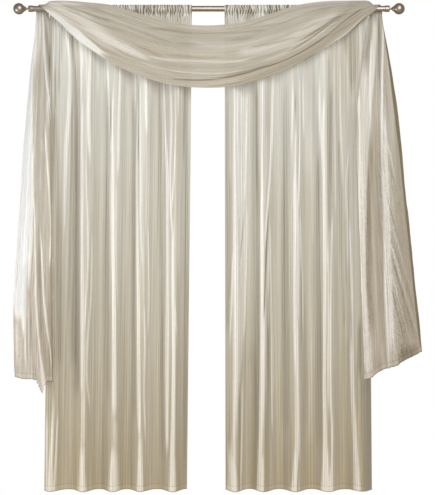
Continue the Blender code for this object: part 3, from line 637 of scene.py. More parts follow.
# How strongly the cloth of each tail is crinkled, at shares across it from the inner edge
LEFT_BARK = ((0, 0.4), (0.2, 0.1), (0.6, 0.1), (0.75, 0.4), (1, 0.4))
RIGHT_BARK = (
    (0, 0.3), (0.14, 0.6), (0.2, 0.05), (0.4, 0.05),
    (0.48, 0.6), (0.6, 0.8), (0.75, 0.3), (1, 0.25),
)


def over_rod(outer_x, outer_degrees, inner_x, inner_degrees):
    """A section where the scarf lies on the rod, from 0 degrees in front to 180 behind."""
    edges = []
    for x, degrees in ((outer_x, outer_degrees), (inner_x, inner_degrees)):
        angle = math.radians(degrees)
        edges.append((x, -WRAP_RADIUS * math.cos(angle), WRAP_RADIUS * math.sin(angle)))
    half_turn = math.radians(abs(outer_degrees - inner_degrees)) / 2
    return Section(*edges, WRAP_RADIUS * (1 - math.cos(half_turn)), WRAP_PLEAT)


LEFT_TAIL = (
    Section((-0.862, 0.012, -1.625), (-0.668, -0.086, -1.637), -0.006, 0.022),
    Section((-0.870, 0.010, -1.373), (-0.669, -0.085, -1.378), -0.006, 0.021),
    Section((-0.838, 0.006, -0.875), (-0.676, -0.080, -0.880), -0.005, 0.018),
    Section((-0.800, 0.006, -0.400), (-0.685, -0.058, -0.400), -0.004, 0.012),
    Section((-0.790, 0.010, -0.290), (-0.690, -0.044, -0.290), -0.002, 0.010),
    Section((-0.780, 0.014, -0.190), (-0.694, -0.031, -0.190), 0.0, 0.008),
    Section((-0.770, 0.018, -0.105), (-0.694, -0.0190, -0.105), 0.0, 0.006),
    Section((-0.767, 0.020, -0.060), (-0.6985, -0.0130, -0.060), 0.0, 0.005),
    Section((-0.765, 0.020, -0.030), (-0.7052, 0.0035, -0.032), 0.0, 0.0045),
)
LEFT_WRAP = (
    over_rod(-0.7645, 190, -0.7068, 212),
    over_rod(-0.763, 178, -0.707, 184),
    over_rod(-0.760, 150, -0.708, 152),
    over_rod(-0.755, 117, -0.708, 126),
    over_rod(-0.749, 84, -0.708, 102),
    over_rod(-0.743, 52, -0.707, 82),
)
SWAG = (
    Section((-0.735, -0.022, 0.002), (-0.702, -0.019, 0.026), 0.002, 0.004),
    Section((-0.709, -0.032, -0.022), (-0.676, -0.032, 0.029), 0.002, 0.004),
    Section((-0.666, -0.040, -0.058), (-0.631, -0.038, 0.028), 0.004, 0.005),
    Section((-0.582, -0.046, -0.139), (-0.534, -0.039, 0.021), 0.008, 0.006),
    Section((-0.450, -0.053, -0.232), (-0.423, -0.040, 0.008), 0.012, 0.007),
    Section((-0.326, -0.057, -0.293), (-0.304, -0.042, -0.030), 0.015, 0.007),
    Section((-0.192, -0.060, -0.336), (-0.185, -0.044, -0.064), 0.017, 0.007),
    Section((0.000, -0.061, -0.356), (0.000, -0.045, -0.081), 0.018, 0.007),
    Section((0.172, -0.060, -0.336), (0.168, -0.044, -0.062), 0.017, 0.007),
    Section((0.282, -0.057, -0.296), (0.269, -0.042, -0.030), 0.015, 0.007),
    Section((0.419, -0.053, -0.233), (0.388, -0.040, 0.009), 0.012, 0.007),
    Section((0.542, -0.047, -0.158), (0.512, -0.039, 0.026), 0.008, 0.006),
    Section((0.631, -0.041, -0.099), (0.609, -0.038, 0.029), 0.004, 0.005),
    Section((0.680, -0.037, -0.055), (0.662, -0.036, 0.030), 0.002, 0.0045),
    Section((0.712, -0.033, -0.028), (0.692, -0.033, 0.030), 0.002, 0.004),
    Section((0.737, -0.023, -0.004), (0.707, -0.020, 0.026), 0.002, 0.004),
)
RIGHT_WRAP = (
    over_rod(0.747, 50, 0.7085, 80),
    over_rod(0.754, 82, 0.709, 102),
    over_rod(0.759, 116, 0.709, 126),
    over_rod(0.763, 150, 0.709, 152),
    over_rod(0.765, 178, 0.708, 184),
    over_rod(0.766, 190, 0.7076, 212),
)
RIGHT_TAIL = (
    Section((0.768, 0.020, -0.030), (0.7060, 0.0035, -0.032), 0.0, 0.0045),
    Section((0.772, 0.020, -0.060), (0.7010, -0.0130, -0.060), 0.0, 0.005),
    Section((0.781, 0.019, -0.105), (0.694, -0.0240, -0.105), 0.0, 0.006),
    Section((0.797, 0.014, -0.190), (0.681, -0.035, -0.190), 0.0, 0.008),
    Section((0.813, 0.009, -0.290), (0.665, -0.048, -0.290), -0.002, 0.011),
    Section((0.830, 0.006, -0.400), (0.650, -0.060, -0.400), -0.004, 0.014),
    Section((0.881, 0.006, -0.875), (0.648, -0.081, -0.880), -0.005, 0.020),
    Section((0.918, 0.010, -1.205), (0.659, -0.084, -1.260), -0.006, 0.023),
    Section((0.947, 0.012, -1.512), (0.672, -0.086, -1.628), -0.006, 0.025),
)


def ease(value):
    """A share from 0 to 1 that starts and ends gently."""
    value = np.clip(value, 0.0, 1.0)
    return value * value * (3 - 2 * value)


def ripple(across, along, cells, seed):
    """Smooth noise from -1 to 1 over shares across and along the cloth, in cells of that many."""
    across_cells, along_cells = cells
    values = np.random.default_rng(seed).uniform(-1, 1, (along_cells + 1, across_cells + 1))
    a = np.clip(across, 0, 1) * across_cells
    b = np.clip(along, 0, 1) * along_cells
    column = np.minimum(a.astype(int), across_cells - 1)
    row = np.minimum(b.astype(int), along_cells - 1)
    right = ease(a - column)
    down = ease(b - row)
    top = values[row, column] * (1 - right) + values[row, column + 1] * right
    bottom = values[row + 1, column] * (1 - right) + values[row + 1, column + 1] * right
    return top * (1 - down) + bottom * down


def smooth_curve(at, stops, values):
    """Values on a smooth curve through the ones given at rising stops."""
    stops = np.asarray(stops, dtype=float)
    values = np.asarray(values, dtype=float).reshape(len(stops), -1)
    spans = np.diff(stops)[:, None]
    rates = np.diff(values, axis=0) / spans
    inside = (rates[:-1] * spans[1:] + rates[1:] * spans[:-1]) / (spans[:-1] + spans[1:])
    slopes = np.vstack((rates[:1], inside, rates[-1:]))
    at = np.clip(at, stops[0], stops[-1])
    index = np.clip(np.searchsorted(stops, at, side="right") - 1, 0, len(spans) - 1)
    span = spans[index]
    s = (at[:, None] - stops[index, None]) / span
    return (
        (2 * s**3 - 3 * s**2 + 1) * values[index]
        + (s**3 - 2 * s**2 + s) * span * slopes[index]
        + (3 * s**2 - 2 * s**3) * values[index + 1]
        + (s**3 - s**2) * span * slopes[index + 1]
    )


def grid_normals(points):
    """Unit normals of a grid of points, which face outwards where the scarf wraps the rod."""
    normals = np.cross(np.gradient(points, axis=1), np.gradient(points, axis=0))
    return normals / np.linalg.norm(normals, axis=2, keepdims=True)


def add(tree, kind, inputs=None, **settings):
    """A new node. An input that is given as a socket is linked to it."""
    node = tree.nodes.new(kind)
    for key, value in settings.items():
        setattr(node, key, value)
    for key, value in (inputs or {}).items():
        if isinstance(value, bpy.types.NodeSocket):
            tree.links.new(value, node.inputs[key])
        else:
            node.inputs[key].default_value = value
    return node


def mixed(tree, share, first, second):
    """The socket of a colour between two others."""
    inputs = {0: share, 6: first, 7: second}
    return add(tree, "ShaderNodeMix", inputs, data_type="RGBA").outputs[2]


def computed(tree, operation, *values):
    """The socket of one calculation on one or two values."""
    return add(tree, "ShaderNodeMath", dict(enumerate(values)), operation=operation).outputs[0]


def total(tree, *values):
    """The socket of the sum of several values."""
    result = values[0]
    for value in values[1:]:
        result = computed(tree, "ADD", result, value)
    return result


def scaled(tree, value, factor):
    """The socket of a value times a factor."""
    return computed(tree, "MULTIPLY", value, factor)


def ranged(tree, value, low, high, to_low, to_high):
    """The socket of a value carried from one range into another, and kept inside it."""
    inputs = {0: value, 1: low, 2: high, 3: to_low, 4: to_high}
    return add(tree, "ShaderNodeMapRange", inputs, interpolation_type="SMOOTHSTEP").outputs[0]


def attribute(tree, name):
    """The socket of a number that is stored on the cloth's points."""
    return add(tree, "ShaderNodeAttribute", attribute_name=name).outputs["Fac"]


def noise(tree, place, scale, detail=2.0, roughness=0.5, distortion=0.0, turn=0.0):
    """The socket of a noise texture, turned and then stretched along each axis of the cloth."""
    if turn:
        place = add(tree, "ShaderNodeMapping", {"Vector": place, "Rotation": (0.0, 0.0, turn)}).outputs[0]
    stretched = add(tree, "ShaderNodeMapping", {"Vector": place, "Scale": scale})
    inputs = {
        "Vector": stretched.outputs[0],
        "Scale": 1.0,
        "Detail": detail,
        "Roughness": roughness,
        "Distortion": distortion,
    }
    return add(tree, "ShaderNodeTexNoise", inputs).outputs["Fac"]


def edge_distances(tree, place, flat):
    """The sockets of the distance from a cloth's nearer end, and from its nearer side."""
    parts = add(tree, "ShaderNodeSeparateXYZ", {0: place}).outputs
    distances = []
    for part, size in ((parts[1], flat[1]), (parts[0], flat[0])):
        other = computed(tree, "SUBTRACT", size, part)
        distances.append(computed(tree, "MINIMUM", part, other))
    return distances


def empty_material(name):
    """A material with no nodes yet, and its node tree."""
    material = bpy.data.materials.new(name)
    material.use_nodes = True
    material.node_tree.nodes.clear()
    return material, material.node_tree


def sewn_line(tree, distance, place):
    """The socket of a seam, which is 1 where the distance from an edge is the seam's."""
    away = computed(tree, "ABSOLUTE", computed(tree, "SUBTRACT", distance, place))
    return ranged(tree, away, *SEAM_EDGES, 1.0, 0.0)


def cloth_material(
    name, pale_high, pale_low, hollow_high, hollow_low, shade, clear_share, crinkle, streaked, flat
):
    """Crinkled sheer: pale where its pleats bunch up, deeper in colour and thinner in the hollows.
    That paleness is partly painted light on the ridges, and that depth partly painted shade in
    the hollows and creases.

    The high and low colours are those at the rod and at the hem; the low ones are darker, painted
    shade that deepens towards the hem. shade is the colour of the painted shade in the darkest
    creases. clear_share is how much of the light goes straight through open cloth,
    crinkle is the streaks' relief, and streaked is how much they show in the colour, where their
    tone follows that relief as painted light and shade.
    """
    material, tree = empty_material(name)
    place = add(tree, "ShaderNodeUVMap", uv_map="cloth").outputs[0]
    bunched_and_painted_light = attribute(tree, "bunched_and_painted_light")
    low = attribute(tree, "low")
    barked = attribute(tree, "bark")
    streaks = noise(tree, place, (170.0, 1.3, 1.0), detail=3.0, roughness=0.62, distortion=0.25)
    broad = noise(tree, place, (76.0, 0.9, 1.0), detail=3.0)
    slubs = noise(tree, place, (22.0, 420.0, 1.0), roughness=0.7)
    bark = noise(tree, place, (190.0, 46.0, 1.0), roughness=0.6, distortion=0.8, turn=BARK_SLANT)
    warmth = noise(tree, place, (9.0, 0.7, 1.0))
    from_hem, from_side = edge_distances(tree, place, flat)
    hem = ranged(tree, from_hem, HEM_WIDTH, HEM_WIDTH + HEM_EDGE, 1.0, 0.0)
    hem_seam = sewn_line(tree, from_hem, HEM_WIDTH)
    side_seam = sewn_line(tree, from_side, SIDE_HEM_WIDTH)
    border = ranged(tree, from_hem, 0.0, BORDER_WIDTH, 1.0, 0.0)

    # How pale the cloth is painted. Beside its bunching this holds painted light and shade: pale ridges,
    # dark hollows and creases, and streak and bark tones that follow their relief.
    bright = total(
        tree,
        bunched_and_painted_light,
        ranged(tree, broad, 0.34, 0.66, -0.14 * streaked, 0.17 * streaked),
        ranged(tree, streaks, 0.36, 0.66, -0.22 * streaked, 0.21 * streaked),
        scaled(tree, ranged(tree, bark, 0.36, 0.64, -0.34, 0.26), barked),
        scaled(tree, hem, HEM_TONE),
        scaled(tree, hem_seam, HEM_SEAM_TONE),
        scaled(tree, side_seam, SIDE_SEAM_TONE),
        scaled(tree, border, BORDER_TONE),
    )
    # The low colours paint the cloth darker and browner towards the hem: painted shade.
    hollow = mixed(tree, low, hollow_high, hollow_low)
    hollow = mixed(tree, ranged(tree, warmth, 0.40, 0.68, 0.0, 0.55), hollow, WARM_HOLLOW)
    pale = mixed(tree, low, pale_high, pale_low)
    colour = mixed(tree, ranged(tree, bright, -0.1, 1.2, 0.0, 1.0), hollow, pale)
    # Dark creases and hollows turn to the shade colour: painted shade.
    colour = mixed(tree, ranged(tree, bright, -0.7, 0.05, 1.0, 0.0), colour, shade)
    # The palest, most tightly gathered cloth turns to a painted highlight.
    colour = mixed(tree, ranged(tree, bright, 1.2, 1.7, 0.0, 1.0), colour, PAINTED_HIGHLIGHT)
    colour = mixed(tree, ranged(tree, slubs, 0.3, 0.7, 0.0, 0.05), colour, THREAD)

    relief = total(
        tree,
        scaled(tree, streaks, crinkle),
        scaled(tree, slubs, SLUB_RELIEF),
        scaled(tree, bark, barked),
        scaled(tree, hem_seam, SEAM_RELIEF),
        scaled(tree, side_seam, SEAM_RELIEF),
    )
    bump = add(tree, "ShaderNodeBump", {"Strength": 0.6, "Distance": 0.0022, "Height": relief})
    looks = {
        "Base Color": colour,
        "Alpha": ranged(tree, bright, 0.0, 0.9, 1.0 - clear_share, 0.97),
        "Roughness": 0.82,
        "Specular IOR Level": 0.25,
        "Sheen Weight": 0.18,
        "Sheen Roughness": 0.45,
        "Normal": bump.outputs[0],
    }
    surface = add(tree, "ShaderNodeBsdfPrincipled", looks)
    through = add(tree, "ShaderNodeBsdfTranslucent", {"Color": colour, "Normal": bump.outputs[0]})
    layers = {0: TRANSLUCENT_SHARE, 1: surface.outputs[0], 2: through.outputs[0]}
    both = add(tree, "ShaderNodeMixShader", layers)
    add(tree, "ShaderNodeOutputMaterial", {"Surface": both.outputs[0]})
    return material


def metal_material():
    """Satin champagne nickel, brushed round the rod."""
    material, tree = empty_material("champagne metal")
    place = add(tree, "ShaderNodeTexCoord").outputs["Object"]
    brushing = noise(tree, place, (1400.0, 60.0, 60.0), detail=3.0)
    patina = noise(tree, place, (18.0, 30.0, 30.0), detail=3.0)
    colour = mixed(tree, patina, (0.285, 0.24, 0.195, 1.0), (0.36, 0.31, 0.26, 1.0))
    roughness = ranged(tree, brushing, 0.3, 0.7, 0.30, 0.44)
    bump = add(tree, "ShaderNodeBump", {"Strength": 0.12, "Distance": 0.0002, "Height": brushing})
    looks = {"Base Color": colour, "Metallic": 1.0, "Roughness": roughness, "Normal": bump.outputs[0]}
    surface = add(tree, "ShaderNodeBsdfPrincipled", looks)
    add(tree, "ShaderNodeOutputMaterial", {"Surface": surface.outputs[0]})
    return material


def floor_material():
    """The pale floor under the curtains."""
    material, tree = empty_material("pale floor")
    place = add(tree, "ShaderNodeTexCoord").outputs["Object"]
    grain = noise(tree, place, (1.5, 24.0, 1.0), detail=3.0)
    colour = mixed(tree, grain, (0.66, 0.62, 0.54, 1.0), (0.72, 0.68, 0.60, 1.0))
    surface = add(tree, "ShaderNodeBsdfPrincipled", {"Base Color": colour, "Roughness": 0.6})
    add(tree, "ShaderNodeOutputMaterial", {"Surface": surface.outputs[0]})
    return material


def linked(name, data, material):
    """An object in the scene that rides on the curtain's one body."""
    data.materials.append(material)
    piece = bpy.data.objects.new(name, data)
    bpy.context.scene.collection.objects.link(piece)
    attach(piece, "root")
    return piece


def turned(name, profile, metal, closed=False):
    """A piece turned about the rod's axis from (x, radius) points, in place of its solid."""
    mesh = bmesh.new()
    points = [mesh.verts.new((x, 0.0, radius)) for x, radius in profile]
    pairs = list(zip(points, points[1:]))
    if closed:
        pairs.append((points[-1], points[0]))
    edges = [mesh.edges.new(pair) for pair in pairs]
    bmesh.ops.spin(
        mesh,
        geom=points + edges,
        cent=(0.0, 0.0, 0.0),
        axis=(1.0, 0.0, 0.0),
        angle=2 * math.pi,
        steps=METAL_SIDES,
        use_merge=True,
    )
    bmesh.ops.remove_doubles(mesh, verts=mesh.verts, dist=MERGE_DISTANCE)
    bmesh.ops.recalc_face_normals(mesh, faces=mesh.faces)
    data = bpy.data.meshes.new(name)
    mesh.to_mesh(data)
    mesh.free()
    data.shade_smooth()
    data.set_sharp_from_angle(angle=SHARP_ANGLE)
    piece = linked(f"{name}_satin", data, metal)
    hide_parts(name)


def build_rod(metal):
    """The tube that carries the cloth."""
    bore = ROD_RADIUS - ROD_WALL
    profile = (
        (-ROD_HALF_LENGTH, bore),
        (-ROD_HALF_LENGTH, ROD_RADIUS),
        (ROD_HALF_LENGTH, ROD_RADIUS),
        (ROD_HALF_LENGTH, bore),
    )
    turned("rod", profile, metal, closed=True)


def build_end_cap(side_name, side, metal):
    """The collar that covers one end of the tube, with its rims rounded."""
    socket = ROD_RADIUS + FIT_GAP
    socket_floor = ROD_HALF_LENGTH + FIT_GAP
    profile = [(socket_floor, 0.0), (socket_floor, socket), (CAP_INNER_END, socket)]
    rims = (
        (CAP_INNER_END + CAP_ROUNDING, (0, 30, 60, 90)),
        (CAP_OUTER_END - CAP_ROUNDING, (90, 120, 150, 180)),
    )
    for middle, turns in rims:
        for degrees in turns:
            angle = math.radians(degrees)
            radius = CAP_RADIUS - CAP_ROUNDING * (1 - math.sin(angle))
            profile.append((middle - CAP_ROUNDING * math.cos(angle), radius))
    profile.append((CAP_OUTER_END, 0.0))
    turned(f"end_cap_{side_name}", [(side * x, radius) for x, radius in profile], metal)


def build_finial(side_name, side, metal):
    """The ball on its tapered neck, which stands on the end cap."""
    profile = [(CAP_OUTER_END + FIT_GAP + past_foot, radius) for past_foot, radius in NECK]
    for ring in range(BALL_RINGS + 1):
        turn = BALL_START_ANGLE + (math.pi - BALL_START_ANGLE) * ring / BALL_RINGS
        radius = BALL_RADIUS * math.sin(turn) if ring < BALL_RINGS else 0.0
        profile.append((BALL_CENTRE - BALL_RADIUS * math.cos(turn), radius))
    turned(f"finial_{side_name}", [(side * x, radius) for x, radius in profile], metal)


def sheet_mesh(name, points, flat, numbers):
    """A smooth mesh over a grid of points, with its place on the flat cloth and stored numbers."""
    rows, columns = points.shape[:2]
    index = np.arange(rows * columns).reshape(rows, columns)
    corners = (index[:-1, :-1], index[:-1, 1:], index[1:, 1:], index[1:, :-1])
    faces = np.stack(corners, axis=-1).reshape(-1, 4)
    data = bpy.data.meshes.new(name)
    data.from_pydata(points.reshape(-1, 3).tolist(), [], faces.tolist())
    data.shade_smooth()
    width, length = flat
    steps = np.linalg.norm(np.diff(points, axis=0), axis=2).mean(axis=1)
    run = np.concatenate(([0.0], np.cumsum(steps)))
    across = np.linspace(0.0, width, columns)
    place = np.empty((rows, columns, 2))
    place[:, :, 0] = across[None, :]
    place[:, :, 1] = (run / run[-1] * length)[:, None]
    layer = data.uv_layers.new(name="cloth")
    layer.data.foreach_set("uv", place.reshape(-1, 2)[faces.reshape(-1)].reshape(-1))
    for key, values in numbers.items():
        stored = data.attributes.new(key, "FLOAT", "POINT")
        stored.data.foreach_set("value", np.broadcast_to(values, (rows, columns)).reshape(-1))
    return data


def fold_line(hem_x, folds):
    """How far the cloth stands from the rod's plane where the folds have their whole depth."""
    ridges = np.array([fold.ridge for fold in folds])
    depths = np.array([fold.depth for fold in folds])
    stops = np.concatenate(([ridges[0] - FOLD_PITCH], ridges, [ridges[-1] + FOLD_PITCH]))
    turns = np.interp(hem_x, stops, np.arange(-1, len(ridges) + 1))
    crest = np.cos(np.pi * turns) ** 2
    return np.interp(hem_x, ridges, depths) * (1 - 2 * crest**RIDGE_SHARPNESS)


def lowness(points):
    """From 0 at the rod to 1 at the hem: the cloth's colour is painted darker and browner as it comes down,
    painted shade that stands in for the light falling off.
    """
    return np.clip(points[:, :, 2] / HEM_HEIGHT, 0, 1) ** LOW_CURVE


def pleating(across, along, pleats, fade, edge):
    """How pale the pleats make each point: above 0 where the cloth bunches up, partly painted light, and
    below 0 for painted shade in a hollow.

    across and along are the points' places, in metres, as the pleats' rows measure them.
    fade is how far a pleat takes to reach its whole strength.
    """
    ridges = np.zeros_like(across)
    hollows = np.zeros_like(across)
    for pale, steep, *line in pleats:
        stops, places, widths = np.array(line).T * MILLIMETRE
        curves = smooth_curve(along.ravel(), stops, np.stack((places, widths), axis=1))
        away = across - curves[:, 0].reshape(along.shape)
        left_width = curves[:, 1].reshape(along.shape)
        width = np.where(away < 0, left_width, left_width * steep)
        start = stops[0] - fade * PLEAT_OVERRUN
        end = stops[-1] + fade * PLEAT_OVERRUN
        inside = ease((along - start) / fade) * ease((end - along) / fade)
        strength = abs(pale) * np.exp(-(np.abs(away / width) ** edge)) * inside
        kind = ridges if pale > 0 else hollows
        np.maximum(kind, strength, out=kind)
    return ridges * np.clip(1 - hollows, 0, 1) - hollows


def panel_front(panel):
    """The front of a panel from its hem up to the pocket's seam.

    It comes with how tightly each point's cloth bunches up, with painted light and shade added, and with the
    phase and the unevenness of the gathers along the seam.
    """
    rise = np.linspace(1.0, 0.0, PANEL_ROWS)
    z = (STITCH_HEIGHT + (HEM_HEIGHT - STITCH_HEIGHT) * rise**ROW_CROWDING)[:, None]
    share = np.linspace(0.0, 1.0, PANEL_COLUMNS + 1)[None, :]
    along = (STITCH_HEIGHT - z) / (STITCH_HEIGHT - HEM_HEIGHT)
    share_grid, along_grid = np.broadcast_arrays(share, along)
    drop = np.broadcast_to(-z, share_grid.shape)
    below_seam = STITCH_HEIGHT + drop
    heading_x = panel.heading[0] + share * (panel.heading[1] - panel.heading[0])
    hem_x = panel.hem[0] + share * (panel.hem[1] - panel.hem[0])
    x = heading_x + along * (hem_x - heading_x)
    fold_share = FOLD_START + (1 - FOLD_START) * ease(below_seam / FOLD_FULL_DROP)
    y = fold_line(hem_x, panel.folds) * fold_share

    uneven = ripple(share_grid, 0 * along_grid, (GATHERS, 1), panel.seed)
    wander = GATHER_WANDER * ripple(share_grid, along_grid, (24, 3), panel.seed + 1)
    phase = 2 * math.pi * (GATHERS * share_grid + wander)
    short, long = GATHER_REACH
    reach = short + (long - short) * (0.5 + 0.5 * uneven) ** 2
    gathered = 1 - ease(below_seam / reach)
    y = y - GATHER_DEPTH * gathered * (1 + GATHER_UNEVEN * uneven) * np.sin(phase)

    pale = pleating(x, drop, panel.pleats, PLEAT_FADE, CRISP)
    bunching = np.clip(pale, 0, 1)
    wander = FINE_PLEAT_WANDER * ripple(share_grid, along_grid, (30, 14), panel.seed + 2)
    fine = np.cos(2 * math.pi * x / FINE_PLEAT_PITCH + wander)
    opened = ease(below_seam / PLEAT_START_DROP)
    y = y - opened * (PLEAT_LIFT * pale + FINE_PLEAT_DEPTH * bunching * fine)

    bent = share_grid + PANEL_CRINKLE_BEND * ripple(share_grid, along_grid, (18, 10), panel.seed + 3)
    coarse_share, fine_share = PANEL_CRINKLE_SHARES
    crinkles = coarse_share * ripple(bent, along_grid, (110, 9), panel.seed + 4)
    crinkles += fine_share * ripple(bent, along_grid, (190, 22), panel.seed + 5)
    y = y - opened * (CRINKLE_DEPTHS[0] + CRINKLE_DEPTHS[1] * bunching) * crinkles
    points = np.stack(np.broadcast_arrays(x, y, z), axis=-1)
    # Dark pleats paint the hollows darker, painted shade, and crinkles that stand towards the room are
    # painted paler, painted light.
    bunched_and_painted_light = HOLLOW_BUNCHED + (1 - HOLLOW_BUNCHED) * bunching + HOLLOW_TONE * np.clip(pale, -1, 0)
    return points, bunched_and_painted_light + CRINKLE_TONE * crinkles, phase[-1], uneven[-1]


def pocket_rows(seam, phase, uneven):
    """Rows of points from the seam round the rod and down to the seam again."""
    slack = POCKET_SLACK * (0.5 - 0.5 * np.sin(phase)) * (1 + SLACK_UNEVEN * uneven)
    rows = []
    for angle in np.linspace(-POCKET_HALF_ARC, POCKET_HALF_ARC, POCKET_ROWS):
        radius = POCKET_RADIUS + slack * (CREST_SLACK + (1 - CREST_SLACK) * abs(math.sin(angle)))
        rows.append(np.stack((seam[:, 0], radius * math.sin(angle), radius * math.cos(angle)), axis=-1))
    rows.append(seam + np.array(TURN_IN))
    return np.array(rows)


def build_panel(panel, cloth):
    """One gathered panel with its rod pocket, as one thin sheet."""
    front, bunched_and_painted_light, phase, uneven = panel_front(panel)
    pocket = pocket_rows(front[-1], phase, uneven)
    points = np.concatenate((front, pocket))
    bunched_and_painted_light = np.concatenate((bunched_and_painted_light, np.zeros(pocket.shape[:2])))
    share = np.linspace(0.0, 1.0, PANEL_COLUMNS + 1)
    share_grid, height = np.broadcast_arrays(share[None, :], points[:, :, 2])
    band_share = (height - HEAD_BAND[0]) / (HEAD_BAND[1] - HEAD_BAND[0])
    swing = HEAD_SWING * ripple(share_grid, band_share, (40, 7), panel.seed + 6)
    ridges = np.sin(phase[None, :] + 2 * math.pi * swing)
    patches = ripple(share_grid, band_share, (70, 5), panel.seed + 7)
    # The heading is painted pale on its gathers' ridges and dark in the gaps between them, painted light and
    # shade, with random patches.
    heading = HEAD_TONES[0] + HEAD_TONES[1] * ridges + HEAD_TONES[2] * patches
    short, long = HEAD_REACH
    reach = short + (long - short) * (0.5 + 0.5 * uneven)
    in_heading = 1 - ease((STITCH_HEIGHT - height) / reach)
    bunched_and_painted_light = bunched_and_painted_light + (heading - bunched_and_painted_light) * in_heading
    bark = PANEL_BARK * np.clip(bunched_and_painted_light, 0, 1) * (1 - in_heading)
    numbers = {"bunched_and_painted_light": bunched_and_painted_light, "low": lowness(points), "bark": bark}
    data = sheet_mesh(panel.name, points, PANEL_FLAT, numbers)
    piece = linked(f"{panel.name}_sheer", data, cloth)
    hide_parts(panel.name)


def stations():
    """Rows of numbers along the scarf, on smooth curves through every section.

    The last number says whose folds a row has: 0 the left tail's, 1 the swag's, 2 the
    right tail's, and over the rod a share of both. The rows come with their places along
    the scarf, as shares of its length.
    """
    sections = LEFT_TAIL + LEFT_WRAP + SWAG + RIGHT_WRAP + RIGHT_TAIL
    parts = [0.0] * len(LEFT_TAIL)
    parts += np.linspace(0.0, 1.0, len(LEFT_WRAP)).tolist()
    parts += [1.0] * len(SWAG)
    parts += np.linspace(1.0, 2.0, len(RIGHT_WRAP)).tolist()
    parts += [2.0] * len(RIGHT_TAIL)
    knots = np.array(
        [(*row.outer, *row.inner, row.bulge, row.depth, part) for row, part in zip(sections, parts)]
    )
    middles = (knots[:, 0:3] + knots[:, 3:6]) / 2
    spans = np.linalg.norm(np.diff(middles, axis=0), axis=1)
    stops = np.concatenate(([0.0], np.cumsum(spans)))
    places = []
    for start, end, part, next_part in zip(stops, stops[1:], parts, parts[1:]):
        if part == next_part:
            gap = SWAG_ROW_GAP if part == 1.0 else TAIL_ROW_GAP
        else:
            gap = WRAP_ROW_GAP
        places += np.linspace(start, end, math.ceil((end - start) / gap), endpoint=False).tolist()
    places = np.array(places + [stops[-1]])
    return smooth_curve(places, stops, knots), places / stops[-1]


def fold_waves(across, part):
    """The height of the folds at each share across the scarf, for each row."""
    waves = []
    for turns in (LEFT_TURNS, SWAG_TURNS, RIGHT_TURNS):
        shares = np.array([turn.share for turn in turns])
        heights = np.array([turn.height for turn in turns])
        last = np.clip(np.searchsorted(shares, across, side="right") - 1, 0, len(turns) - 2)
        step = ease((across - shares[last]) / (shares[last + 1] - shares[last]))
        waves.append(heights[last] * (1 - step) + heights[last + 1] * step)
    waves = np.array(waves)
    part = np.clip(part, 0.0, 2.0)
    first = np.minimum(part.astype(int), 1)
    share = (part - first)[:, None]
    return waves[first] * (1 - share) + waves[first + 1] * share


def creased(place, across, creases):
    """The height that creases give to each row and column of the scarf."""
    height = np.zeros((len(place), len(across)))
    for crease in creases:
        places, shares = zip(*crease.line)
        away = across[None, :] - smooth_curve(place, places, shares)
        width = np.where(away < 0, *crease.widths)
        inside = ease((place - places[0]) / CREASE_FADE) * ease((places[-1] - place) / CREASE_FADE)
        height += crease.height * np.exp(-((away / width) ** 2)) * inside[:, None]
    return height


